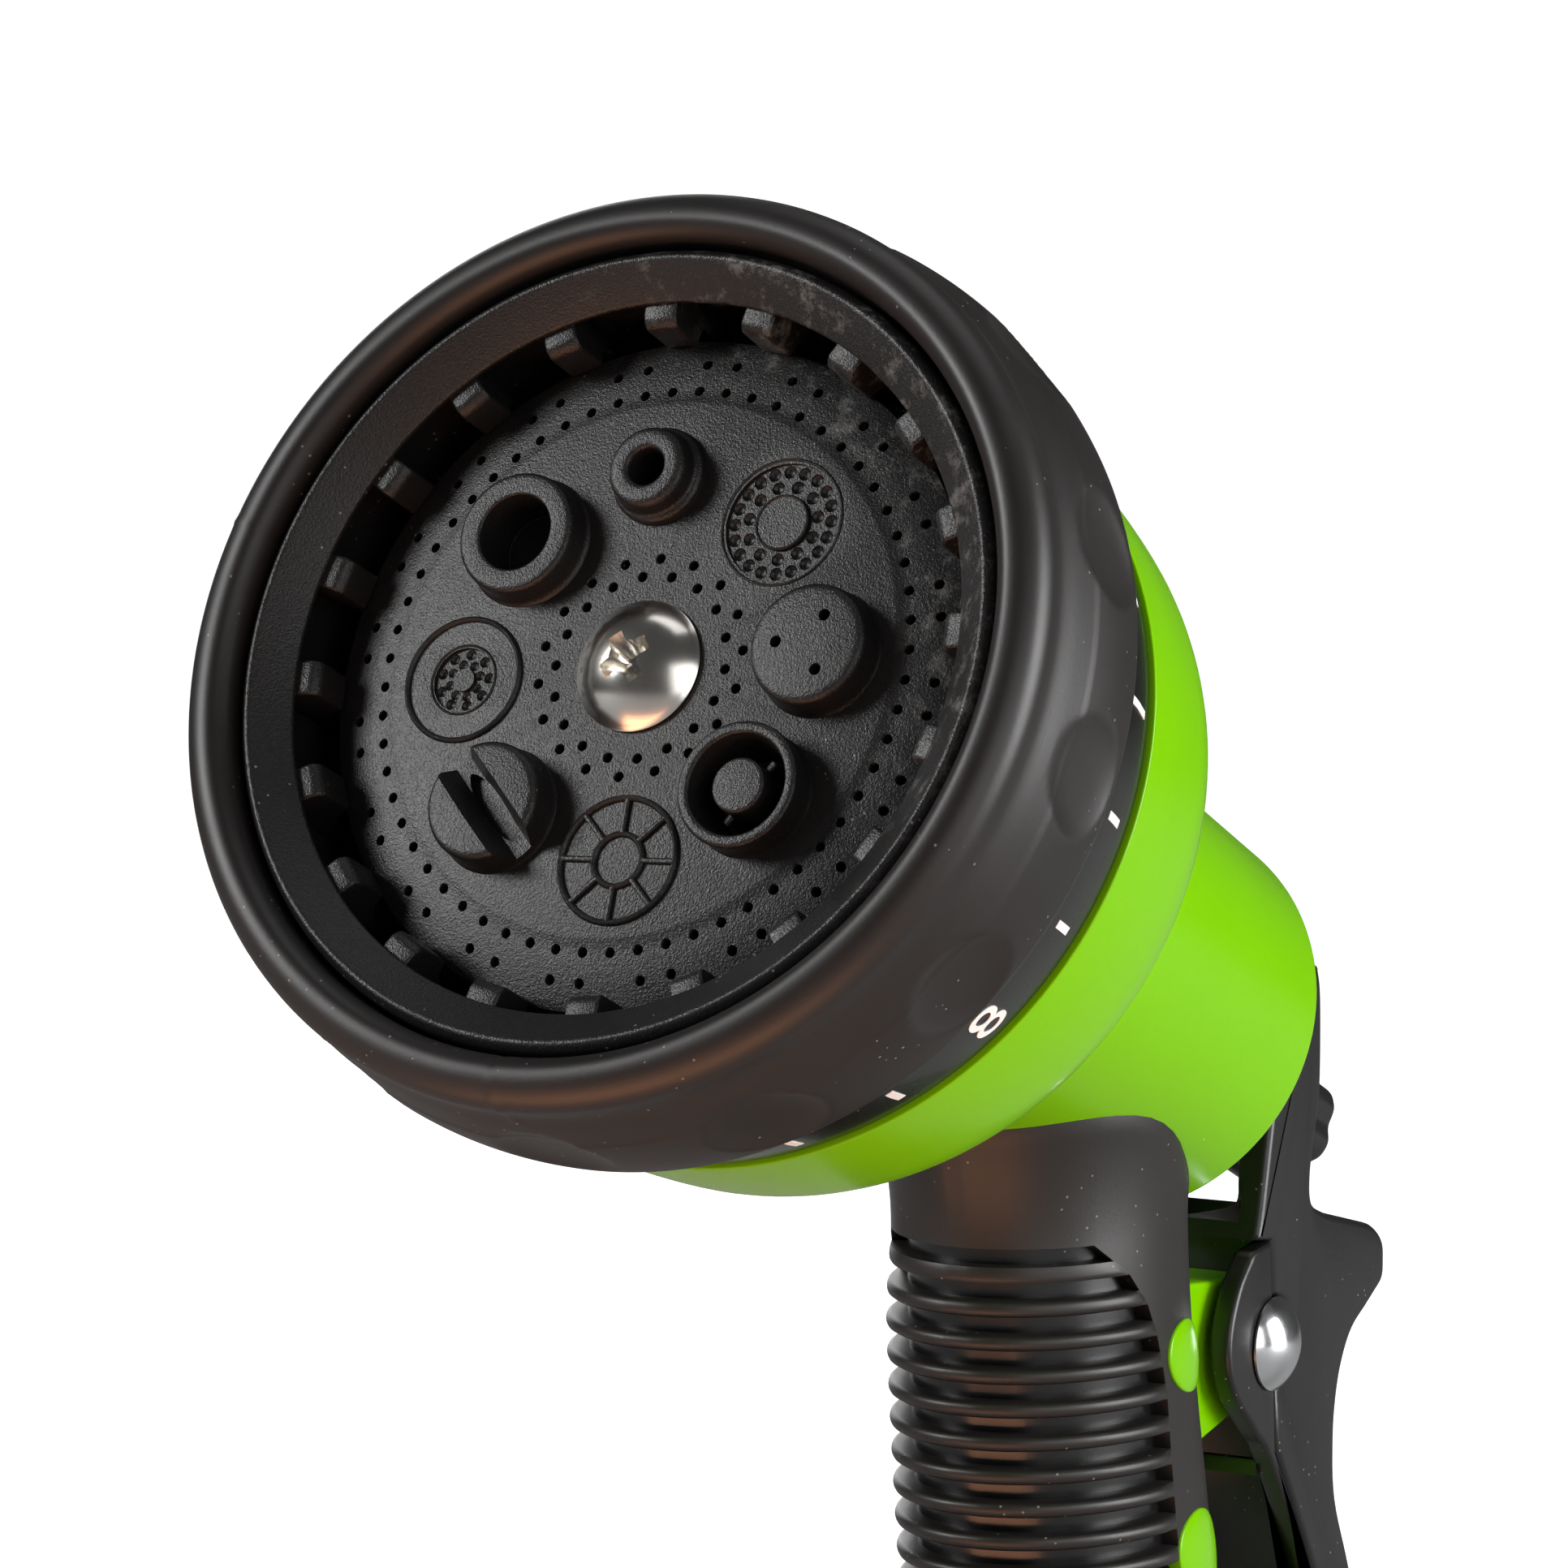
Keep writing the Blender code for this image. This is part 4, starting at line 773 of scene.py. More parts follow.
def three_hole_boss(dial):
    """A flat-topped button with three holes."""
    at = outlet(dial, 0)
    radius = dial.boss_radius
    corners = [(radius + 0.25, -0.4), (radius + 0.2, 0.0), (radius, 0.3), (radius - 0.15, 2.75), (1.6, 2.9), (0.0, 2.9)]
    button = lathe(rounded(corners, [0.0, 0.1, 0.3, 0.75, 0.8, 0.0], 7), 96, closed=False, at=at)
    floor = lathe([(radius + 0.25, -0.4), (0.0, -0.4)], 96, closed=False, at=at)
    holes = pin_cutters(circle_of(3, 2.55, at, 62.0, 2.9), 0.48, 2.2, 20)
    return carved(to_mesh("three_jet_boss", pile(button, floor)), [to_mesh("cutter", holes)])


def tube_bosses(dial):
    """The small stepped jet and the wide bore."""
    small = rounded(
        [(4.05, -0.4), (4.0, 0.7), (3.45, 1.0), (3.35, 2.75), (1.55, 2.75), (1.5, -2.2), (0.0, -2.2)],
        [0.0, 0.3, 0.25, 0.8, 0.5, 0.1, 0.0],
        7,
    )
    wide = boss_profile(dial.boss_radius + 0.1, 2.65, 3.15, -2.2, 0.55)
    return pile(
        lathe(small, 72, closed=False, at=outlet(dial, 2)),
        lathe(wide, 96, closed=False, at=outlet(dial, 3)),
    )


def plug_boss(dial):
    """A cup with a flared rim and a round plug in its middle, held by two low webs."""
    at = outlet(dial, 7)
    corners = [
        (dial.boss_radius + 0.25, -0.4),
        (dial.boss_radius - 0.1, 0.3),
        (dial.boss_radius + 0.1, 3.0),
        (4.15, 3.0),
        (3.85, 1.0),
        (3.4, -2.0),
        (0.0, -2.0),
    ]
    cup = lathe(rounded(corners, [0.0, 0.3, 0.5, 0.3, 0.6, 0.1, 0.0], 6), 96, closed=False, at=at)
    plug = lathe(rounded([(2.25, -2.1), (2.25, 2.7), (0.0, 2.7)], [0.0, 0.35, 0.0], 6), 64, closed=False, at=at)
    webs = [
        bar(at, 3.0, degrees, 0.35, -2.0, 0.6, inner=2.0) for degrees in (58.0, 238.0)
    ]
    return pile(cup, plug, *webs)


def bar(centre, reach, degrees, half, low, high, inner=0.0):
    """A rounded bar lying on the plate from radius `inner` to `reach` in one direction.

    Its section is half an ellipse on two short sides, carried along the direction.
    """
    section = rounded_loop([(-half, low), (half, low), (half, high), (-half, high)], half * 0.8, 4)
    along = np.array([inner, reach])
    angle = math.radians(degrees)
    points = np.empty((2, len(section), 3))
    points[..., 0] = centre[0] + along[:, None] * math.cos(angle) - section[None, :, 0] * math.sin(angle)
    points[..., 1] = centre[1] + along[:, None] * math.sin(angle) + section[None, :, 0] * math.cos(angle)
    points[..., 2] = section[None, :, 1]
    return skin(points, wrap_columns=True)


def fan_boss(dial):
    """A button split by a wide V groove with a lens-shaped slot at its bottom."""
    at = outlet(dial, 5)
    radius = dial.boss_radius
    corners = [(radius + 0.2, -0.4), (radius + 0.15, 0.0), (radius, 0.3), (radius - 0.2, 3.0), (0.0, 3.15)]
    button = lathe(rounded(corners, [0.0, 0.1, 0.3, 0.7, 0.0], 7), 96, closed=False, at=at)
    floor = lathe([(radius + 0.2, -0.4), (0.0, -0.4)], 96, closed=False, at=at)
    direction = math.radians(136.0)
    section = np.array([(-0.75, 0.75), (0.75, 0.75), (2.1, 3.6), (-2.1, 3.6)])
    along = np.array([-radius - 1.0, radius + 1.0])
    groove = np.empty((2, 4, 3))
    groove[..., 0] = at[0] + along[:, None] * math.cos(direction) - section[None, :, 0] * math.sin(direction)
    groove[..., 1] = at[1] + along[:, None] * math.sin(direction) + section[None, :, 0] * math.cos(direction)
    groove[..., 2] = section[None, :, 1]
    u = np.linspace(0.0, 2 * np.pi, 40, endpoint=False)
    lens_along = 3.8 * np.cos(u)
    lens_across = 1.05 * np.sin(u) * np.abs(np.sin(u)) ** 0.35
    levels = np.array([-0.3, 2.2])
    lens = np.empty((2, 40, 3))
    lens[..., 0] = at[0] + lens_along * math.cos(direction) - lens_across * math.sin(direction)
    lens[..., 1] = at[1] + lens_along * math.sin(direction) + lens_across * math.cos(direction)
    lens[..., 2] = levels[:, None]
    return carved(
        to_mesh("fan_boss", pile(button, floor)), [slab_mesh("cutter", groove), slab_mesh("cutter", lens)]
    )


def ridge(radius, centre, half=0.2, height=0.2):
    """A raised line: half an ellipse turned round a centre on the plate."""
    turn = np.radians(np.linspace(0.0, 180.0, 7))
    profile = np.stack([radius + half * np.cos(turn), -0.08 + (height + 0.08) * np.sin(turn)], axis=1)
    return lathe(profile, 72, at=centre)


def plate_signs(dial):
    """Raised signs: the wheel's rings and spokes, and the rings round the shower outlets."""
    wheel = outlet(dial, 6)
    spokes = [bar(wheel, 4.95, 2.0 + 45.0 * index, 0.24, -0.1, 0.33, inner=2.1) for index in range(8)]
    small = outlet(dial, 4)
    shower = outlet(dial, 1)
    return pile(
        ridge(5.05, wheel, 0.28, 0.38),
        ridge(2.12, wheel, 0.28, 0.36),
        *spokes,
        ridge(5.05, small, 0.26, 0.32),
        ridge(2.87, small, 0.12, 0.12),
        ridge(5.2, shower, 0.14, 0.12),
        ridge(2.2, shower, 0.12, 0.12),
    )


class NOZZLE_OT_spray_plate(bpy.types.Operator):
    """Spray plate with its pinholes, dimples, bosses and raised signs"""

    bl_idname = "nozzle.spray_plate"
    bl_label = "Spray Plate"

    def execute(self, context):
        dial = context.scene.nozzle_dial
        finish = FINISH["plate_black"]
        plate = moved_to_head(plate_mesh(dial))
        piece("spray_plate_face", plate, "dial", finish, ("spray_plate",))
        for name, mesh in (
            ("three_jet_boss", three_hole_boss(dial)),
            ("tube_bosses", to_mesh("tube_bosses", tube_bosses(dial))),
            ("plug_boss", to_mesh("plug_boss", plug_boss(dial))),
            ("fan_boss", fan_boss(dial)),
            ("plate_signs", to_mesh("plate_signs", plate_signs(dial))),
        ):
            piece(name, moved_to_head(mesh), "dial", finish)
        return {"FINISHED"}


def moved_to_head(mesh):
    """A mesh made in the head frame, in metres, moved to its place in the row frame."""
    turn = Matrix(
        (
            (1.0, 0.0, 0.0, DIAL_CENTRE[0] * MM),
            (0.0, TILT_SIN, -TILT_COS, DIAL_CENTRE[1] * MM),
            (0.0, TILT_COS, TILT_SIN, DIAL_CENTRE[2] * MM),
            (0.0, 0.0, 0.0, 1.0),
        )
    )
    mesh.transform(turn)
    return mesh


def ring_tabs(dial, wall):
    """Blocks from the ring's wall to the plate's rim, copied round the dial.

    The block's side is an outline of (r, z) carried across its width with rounded rims.
    """
    outline = rounded_loop(
        [(27.35, -1.15), (27.35, 2.45), (27.95, 3.1), (wall + 0.4, 3.25), (wall + 0.4, -6.6), (28.5, -6.6), (28.5, -1.6)],
        [0.15, 0.35, 0.35, 0.1, 0.1, 0.1, 0.2],
        4,
    )
    block = slab(outline, -1.45, 1.45, 0.28, 4)
    rings, around = block.shape[:2]
    vertices = block.reshape(-1, 3)
    faces = grid_faces(rings, around, wrap_columns=True)
    angles = np.radians(dial.first_outlet + np.arange(dial.tabs) * 360.0 / dial.tabs)
    cos, sin = np.cos(angles)[:, None], np.sin(angles)[:, None]
    x = vertices[None, :, 1] * cos - vertices[None, :, 0] * sin
    y = vertices[None, :, 1] * sin + vertices[None, :, 0] * cos
    z = np.broadcast_to(vertices[None, :, 2], x.shape)
    shift = np.arange(dial.tabs)[:, None, None] * len(vertices)
    ends = []
    for tab in range(dial.tabs):
        first = tab * len(vertices)
        ends.append(range(first, first + around))
        ends.append(range(first + (rings - 1) * around, first + rings * around))
    return (np.stack([x, y, z], axis=2).reshape(-1, 3), (faces[None] + shift).reshape(-1, 4)), ends


class NOZZLE_OT_dial_ring(bpy.types.Operator):
    """Dial ring with its conical mouth, deep channel, tabs and glossy number band"""

    bl_idname = "nozzle.dial_ring"
    bl_label = "Dial Ring"

    def execute(self, context):
        dial = context.scene.nozzle_dial
        outer = dial.bezel_radius - 5.7
        wall = outer - 1.5
        mouth = rounded(
            [
                (outer, -10.4),
                (outer, 5.1),
                (outer - 0.75, 5.95),
                (wall - 2.25, 3.55),
                (wall - 2.15, 3.0),
                (wall, 2.7),
                (wall, -8.6),
                (22.0, -8.6),
                (22.0, -6.5),
            ],
            [0.0, 0.4, 0.45, 0.25, 0.2, 0.3, 0.3, 0.0, 0.0],
            6,
        )
        shelf = [(wall - 0.05, -6.5), (wall - 0.05, -8.5)]
        finish = FINISH["plate_black"]
        mesh = to_mesh("dial_ring_mouth", to_head(lathe(np.concatenate([mouth, shelf]), 180)))
        piece("dial_ring_mouth", mesh, "dial", finish)
        tabs, ends = ring_tabs(dial, wall)
        mesh = to_mesh("dial_tabs", to_head(tabs), ends)
        piece("dial_tabs", mesh, "dial", finish)
        band = rounded(
            [(outer - 0.3, -10.9), (36.15, -10.95), (35.45, -15.7), (34.45, -20.1), (32.1, -20.1), (32.1, -10.9)],
            [0.0, 0.35, 2.0, 0.35, 0.2, 0.0],
            6,
        )
        mesh = to_mesh("number_band", to_head(lathe(band, 180)))
        piece("number_band", mesh, "dial", FINISH["gloss_black"], ("dial_ring",))
        return {"FINISHED"}


def bezel_profile(radius):
    """Rubber section: groove, rolled lip, waist, broad barrel and rounded rear edge."""
    outer = smooth_line(
        [
            (33.30, 4.9),
            (33.42, 6.2),
            (34.05, 7.15),
            (34.85, 7.5),
            (35.95, 7.3),
            (36.95, 6.5),
            (37.45, 5.3),
            (37.38, 4.0),
            (37.42, 3.0),
            (37.85, 1.2),
            (38.30, -1.0),
        ],
        4,
    )
    barrel_z = np.linspace(-1.3, -9.3, 30)
    barrel_r = 38.6 - 0.021 * (barrel_z + 4.3) ** 2
    barrel = np.stack([barrel_r, barrel_z], axis=1)
    tail = smooth_line([(37.85, -9.8), (37.40, -10.45), (36.8, -10.72), (36.0, -10.6), (33.3, -10.45)], 4)
    profile = np.concatenate([outer, barrel, tail])
    profile[:, 0] += radius - 38.6
    return profile


class NOZZLE_OT_bezel(bpy.types.Operator):
    """Rubber bezel: a turned section with a ring of finger dimples pressed into its barrel"""

    bl_idname = "nozzle.bezel"
    bl_label = "Rubber Bezel"

    def execute(self, context):
        dial = context.scene.nozzle_dial
        profile = bezel_profile(dial.bezel_radius)
        columns = dial.dimples * 44
        turn = np.linspace(0.0, 2 * np.pi, columns, endpoint=False)[None, :]
        radius = np.repeat(profile[:, :1], columns, axis=1)
        height = np.repeat(profile[:, 1:], columns, axis=1)
        spacing = 2 * np.pi / dial.dimples
        off = (turn - math.radians(-8.3) + spacing / 2) % spacing - spacing / 2
        outside = radius > dial.bezel_radius - 3.0
        away = np.hypot(off * dial.bezel_radius, height + 4.3) / dial.dimple_radius
        pressed = np.clip(1.0 - away**2, 0.0, 1.0)
        pressed = pressed * (1.0 + 0.35 * (1.0 - pressed))
        radius = radius - dial.dimple_depth * pressed * outside
        for mark in (166.7, -91.2):
            near = (turn - math.radians(mark) + np.pi) % (2 * np.pi) - np.pi
            radius = radius + 0.10 * np.exp(-((near * dial.bezel_radius / 0.32) ** 2)) * (height > 2.0)
        points = np.stack([radius * np.cos(turn), radius * np.sin(turn), height], axis=2)
        mesh = to_mesh("bezel_rubber", to_head(skin(points, wrap_rows=True, wrap_columns=True)))
        piece("bezel_rubber", mesh, "dial", FINISH["rubber_black"], ("bezel_grip",), 50.0)
        return {"FINISHED"}


class NOZZLE_OT_numerals(bpy.types.Operator):
    """Numbers printed round the band, one under each outlet, with a short tick between them"""

    bl_idname = "nozzle.numerals"
    bl_label = "Dial Numbers"

    def execute(self, context):
        dial = context.scene.nozzle_dial
        for index in range(OUTLETS):
            flat = flat_text(str(index + 1), dial.numeral_height)
            angle = dial.first_outlet + index * 360.0 / OUTLETS
            wrap_on_band(flat, angle)
            piece(f"dial_number_{index + 1}", flat, "dial", FINISH["ink"])
        ticks = []
        for index in range(OUTLETS * 3):
            if index % 3 == 0:
                continue
            middle = math.radians(dial.first_outlet + index * 360.0 / (OUTLETS * 3))
            spread = np.linspace(-0.35, 0.35, 4) / 35.6 + middle
            height = np.linspace(-14.4, -17.2, 6)[:, None]
            radius = band_radius(height)
            points = np.stack([radius * np.cos(spread), radius * np.sin(spread), height + 0 * spread], axis=2)
            lower = points * np.array([0.997, 0.997, 1.0])
            ticks.append(thick(points, lower))
        mesh = to_mesh("dial_ticks", to_head(pile(*ticks)))
        piece("dial_ticks", mesh, "dial", FINISH["ink"])
        return {"FINISHED"}


def band_radius(height):
    """Outside of the number band: two cones that meet at its middle, plus the ink's thickness."""
    upper = 35.45 + (36.15 - 35.45) * (height + 15.7) / 4.75
    lower = 35.45 - (35.45 - 34.45) * (-15.7 - height) / 4.4
    return np.where(height > -15.7, upper, lower) + 0.05


def flat_text(text, height):
    """One character as a thin flat mesh, centred, in millimetres."""
    curve = bpy.data.curves.new("text", "FONT")
    curve.body = text
    curve.size = height * 1.38
    curve.extrude = 0.04
    curve.align_x = "CENTER"
    curve.align_y = "CENTER"
    curve.resolution_u = 6
    obj = bpy.data.objects.new("text", curve)
    bpy.context.scene.collection.objects.link(obj)
    bpy.context.view_layer.update()
    graph = bpy.context.evaluated_depsgraph_get()
    mesh = bpy.data.meshes.new_from_object(obj.evaluated_get(graph))
    bpy.data.objects.remove(obj, do_unlink=True)
    shape = bmesh.new()
    shape.from_mesh(mesh)
    bmesh.ops.remove_doubles(shape, verts=shape.verts, dist=1e-5)
    bmesh.ops.triangulate(shape, faces=shape.faces)
    bmesh.ops.subdivide_edges(shape, edges=shape.edges, cuts=1)
    shape.to_mesh(mesh)
    shape.free()
    return mesh


def wrap_on_band(mesh, degrees):
    """Bends a flat character round the band: x becomes angle, y becomes height, z becomes radius."""
    flat = np.empty(len(mesh.vertices) * 3, np.float32)
    mesh.vertices.foreach_get("co", flat)
    x, y, z = flat.reshape(-1, 3).T.astype(float)
    height = -15.9 + y
    radius = band_radius(height)
    turn = math.radians(degrees) + x / radius
    radius = radius + z
    points = np.stack([radius * np.cos(turn), radius * np.sin(turn), height], axis=1)
    row, _ = to_head((points, None))
    mesh.vertices.foreach_set("co", (row * MM).astype(np.float32).ravel())
    mesh.update()


class NOZZLE_OT_plate_screw(bpy.types.Operator):
    """Domed cross-head screw that holds the dial on"""

    bl_idname = "nozzle.plate_screw"
    bl_label = "Plate Screw"

    def execute(self, context):
        dome = arc((0.0, -4.05), 6.9, 90, 40.2, 18)
        profile = np.concatenate([dome, [(5.4, 0.3), (5.35, 0.1), (5.2, 0.05), (2.0, 0.05), (2.0, -23.6), (0.0, -23.6)]])
        screw = to_mesh("dial_screw", lathe(profile, 96, closed=False))
        wings = []
        for degrees in (38.0, 128.0):
            section = np.array([(-1.2, -0.5), (1.2, -0.5), (1.2, 0.5), (-1.2, 0.5)])
            spread = np.array([0.75, 1.15, 2.25])[:, None]
            level = np.array([0.2, 1.1, 3.4])
            turn = math.radians(degrees)
            long = section[None, :, 0] * spread
            wide = section[None, :, 1] * np.array([0.9, 1.15, 1.45])[:, None]
            points = np.empty((3, 4, 3))
            points[..., 0] = long * math.cos(turn) - wide * math.sin(turn)
            points[..., 1] = long * math.sin(turn) + wide * math.cos(turn)
            points[..., 2] = level[:, None]
            wings.append(slab_mesh("cutter", points))
        middle = to_mesh("cutter", lathe([(0.0, 0.0), (0.6, 0.3), (1.25, 1.6), (1.45, 3.4), (0.0, 3.4)], 24, closed=False))
        mesh = moved_to_head(carved(screw, [*wings, middle]))
        piece("dial_screw", mesh, "body", FINISH["nickel"], ("plate_screw",), 30.0)
        return {"FINISHED"}


# --- head and handle -----------------------------------------------------------------------
class NOZZLE_OT_head(bpy.types.Operator):
    """Green bell behind the dial, and the plain neck that runs into it"""

    bl_idname = "nozzle.head"
    bl_label = "Head and Neck"

    def execute(self, context):
        sizes = context.scene.nozzle_handle
        bell = rounded(
            [
                (34.4, -20.5),
                (34.75, -20.55),
                (34.45, -27.0),
                (33.0, -36.6),
                (28.5, -40.6),
                (20.3, -41.1),
                (20.3, -38.6),
                (27.5, -38.3),
                (30.6, -35.5),
                (31.9, -27.0),
                (32.2, -20.5),
            ],
            [0.0, 0.25, 5.0, 5.4, 4.0, 0.35, 0.3, 3.0, 4.0, 3.0, 0.0],
            10,
        )
        mesh = to_mesh("head_bell", to_head(lathe(bell, 180)))
        piece("head_bell", mesh, "body", FINISH["green"], ("head_shell",))
        end = -sizes.neck_end
        neck = rounded(
            [
                (15.9, -36.0),
                (sizes.neck_radius, -36.0),
                (sizes.neck_end_radius, end),
                (7.4, end),
                (7.4, end + 4.5),
                (15.9, end + 4.6),
            ],
            [0.0, 0.3, 1.1, 0.3, 0.2, 0.0],
            8,
        )
        mesh = to_mesh("neck_tube", to_head(lathe(neck, 180)))
        piece("neck_tube", mesh, "body", FINISH["green"], ("body_housing",))
        return {"FINISHED"}


def ease(t):
    """t^2 (3 - 2t): 0 to 1 with level ends."""
    t = np.clip(t, 0.0, 1.0)
    return t**2 * (3 - 2 * t)


def axis_y(z):
    """The handle's axis: -7 mm above 131 mm, easing to 0 at 65 mm."""
    return 7.0 * (ease((131.0 - z) / 66.0) - 1)


def section(z, degrees, depth, sizes):
    """Handle surface: x = a sin(phi), y = axis - b cos(phi), with a and b changing gently with z.

    b is larger behind the axis, where the palm presses.
    """
    flare = np.clip((z - 131.0) / 14.0, 0.0, 1.0) ** 2
    swell = 0.9 * np.exp(-(((z - (131.0 + sizes.sleeve_end) / 2) / 30.0) ** 2))
    tail = np.clip((sizes.sleeve_end + 20.0 - z) / 26.0, 0.0, 1.0) ** 2
    across = sizes.half_width + 2.6 * flare + 0.5 * swell - 0.3 * tail - depth
    deep = sizes.half_depth + 4.0 * flare + swell - 2.6 * tail - depth
    phi = np.radians(degrees)
    heel = 3.0 * ease((134.0 - z) / 36.0) * (1 - 0.7 * ease((sizes.sleeve_end + 36.0 - z) / 40.0))
    deep = deep + np.where(np.cos(phi) < 0.0, heel, 0.0)
    x, y, height = np.broadcast_arrays(across * np.sin(phi), axis_y(z) - deep * np.cos(phi), z + 0 * phi)
    return np.stack([x, y, height], axis=-1)


def neck_clearance(points, sizes):
    """Distance from the head's axis, less the neck's radius there."""
    from_centre = points - DIAL_CENTRE
    along = from_centre @ SPRAY_AXIS
    radial = np.linalg.norm(from_centre - along[..., None] * SPRAY_AXIS, axis=-1)
    share = np.clip((-along - 36.0) / (sizes.neck_end - 36.0), 0.0, 1.3)
    return radial - (sizes.neck_radius + (sizes.neck_end_radius - sizes.neck_radius) * share)


def top_of_sleeve(degrees, depth, gap, sizes):
    """Height at which each column of the sleeve meets the neck, found by halving the interval."""
    low = np.full(degrees.shape, 128.0)
    high = np.full(degrees.shape, 158.0)
    for _ in range(26):
        middle = (low + high) / 2
        free = neck_clearance(section(middle, degrees, depth, sizes), sizes) > gap
        low = np.where(free, middle, low)
        high = np.where(free, high, middle)
    return low


def slot_end(z):
    """Angle at which the slots end: it opens quickly over the first few and then stays."""
    return np.interp(z, [100.0, 116.0, 119.0, 122.0, 125.0, 128.0, 131.0], [89.5, 88.5, 86.5, 83.5, 78.5, 69.5, 54.0])


def sleeve_levels(sizes):
    """Heights of the ribbed rows, and for each how far it is slot (1) or land (0) and its bead."""
    wall = 0.07
    land = sizes.slot_pitch - sizes.slot_height
    top = sizes.first_slot - np.arange(sizes.slots) * sizes.slot_pitch
    within = np.array([0.0, wall, sizes.slot_height / 2, sizes.slot_height - wall])
    slot_rows = top[:, None] - within
    slot_mask = np.tile([0.0, 1.0, 1.0, 1.0], (sizes.slots, 1))
    share = np.linspace(0.0, 1.0, 7)[:-1]
    rib_rows = top[:, None] - sizes.slot_height - land * share
    rib_bead = np.tile(np.sqrt(np.clip(1.0 - (2 * share - 1) ** 2, 0.0, 1.0)), (sizes.slots, 1))
    levels = np.concatenate([slot_rows, rib_rows], axis=1).ravel()
    slot = np.concatenate([slot_mask, 0 * rib_rows], axis=1).ravel()
    bead = np.concatenate([0 * slot_rows, rib_bead], axis=1).ravel()
    strength = np.clip((sizes.first_slot - 0.5 - levels) / 6.5, 0.15, 1.0)
    return levels, slot, bead * strength


class NOZZLE_OT_sleeve(bpy.types.Operator):
    """Rubber sleeve: an oval shell with a window of ribs and slots round its front"""

    bl_idname = "nozzle.sleeve"
    bl_label = "Handle Sleeve"

    def execute(self, context):
        sizes = context.scene.nozzle_handle
        edge = sizes.sleeve_edge
        inner_share = np.concatenate([np.linspace(0.0, 1.0, 26)[:-1] ** 0.9, [0.985, 1.0]])
        outer_share = np.concatenate([[0.012], np.linspace(0.08, 0.93, 10), [0.965, 0.99, 1.0]])
        half = np.concatenate([inner_share, 1.0 + outer_share])
        column = np.concatenate([-half[:0:-1], half])
        ribbed, slot, bead = sleeve_levels(sizes)
        lower = np.linspace(ribbed[-1] - 0.6, sizes.sleeve_end, 12)
        upper_share = np.concatenate([np.linspace(1.0, 0.05, 14), [0.012]])

        def angles(z):
            """Column k lies at k times the slot's end, and past 1 runs on to the sleeve's edge."""
            ends = slot_end(z)[:, None]
            size = np.abs(column)[None, :]
            inside = size * ends
            beyond = ends + (size - 1.0) * (edge - ends)
            return np.sign(column)[None, :] * np.where(size <= 1.0, inside, beyond)

        top_angles = angles(np.full(len(upper_share), sizes.first_slot))
        crown = top_of_sleeve(top_angles[0], 0.0, 0.15, sizes)
        upper_z = sizes.first_slot + upper_share[:, None] * (crown - sizes.first_slot)[None, :]
        ribbed_z = np.repeat(ribbed[:, None], len(column), axis=1)
        lower_z = np.repeat(lower[:, None], len(column), axis=1)
        z = np.concatenate([upper_z, ribbed_z, lower_z])
        phi = np.concatenate([top_angles, angles(ribbed), angles(lower)])
        in_slot = (np.abs(column) < 0.99)[None, :]
        fade = np.clip((1.0 - np.abs(column)) / 0.10, 0.0, 1.0)[None, :]
        depth = np.zeros_like(z)
        start = len(upper_share)
        stop = start + len(ribbed)
        depth[start:stop] = 1.75 * slot[:, None] * in_slot - sizes.bead * bead[:, None] * np.sqrt(fade)
        rim = np.clip((np.abs(column) - 1.965) / 0.035, 0.0, 1.0)[None, :]
        depth = depth + 0.55 * rim**2
        crown_round = np.zeros_like(z)
        crown_round[0] = 0.28
        crown_round[1] = 0.05
        crown_round[-1] = 0.6
        crown_round[-2] = 0.0
        outer = section(z, phi, depth + crown_round, sizes)
        seam = 0.09 * np.exp(-((phi / 0.9) ** 2)) * (slot_rows_mask(len(z), start, stop, slot) < 0.5)
        outer[..., 1] += seam
        inner = section(z, phi, sizes.sleeve_thickness, sizes)
        mesh = to_mesh("handle_rubber", thick(outer, inner))
        piece("handle_rubber", mesh, "body", FINISH["rubber_black"], ("handle_sleeve",), 48.0)
        liner_z = np.linspace(sizes.first_slot + 1.5, sizes.sleeve_end + 2.0, 60)[:, None]
        liner_phi = np.linspace(-90.5, 90.5, 91)[None, :]
        ripple = 0.03 * np.sin(liner_z * 0.9 + 0.6 * np.cos(np.radians(liner_phi) * 3))
        liner = thick(
            section(liner_z, liner_phi, 1.45 + ripple, sizes), section(liner_z, liner_phi, 2.1, sizes)
        )
        mesh = to_mesh("grip_liner_face", liner)
        piece("grip_liner_face", mesh, "body", FINISH["gloss_black"], ("grip_liner",), 50.0)
        return {"FINISHED"}


def slot_rows_mask(rows, start, stop, slot):
    """1 on the rows that run through a slot, as a column."""
    mask = np.zeros((rows, 1))
    mask[start:stop, 0] = slot
    return mask


def core_back_limit(z, sizes):
    """The core's back leans in under the neck, so that it ends short of the neck's rear face."""
    corner_y = DIAL_CENTRE[1] + sizes.neck_end * TILT_COS - sizes.neck_end_radius * TILT_SIN
    corner_z = DIAL_CENTRE[2] - sizes.neck_end * TILT_SIN - sizes.neck_end_radius * TILT_COS
    above = corner_y - 0.6 + (z - corner_z) * TILT_SIN / TILT_COS
    below = corner_y - 0.6 + (corner_z - z) * 0.9
    return np.where(z > corner_z, above, below)


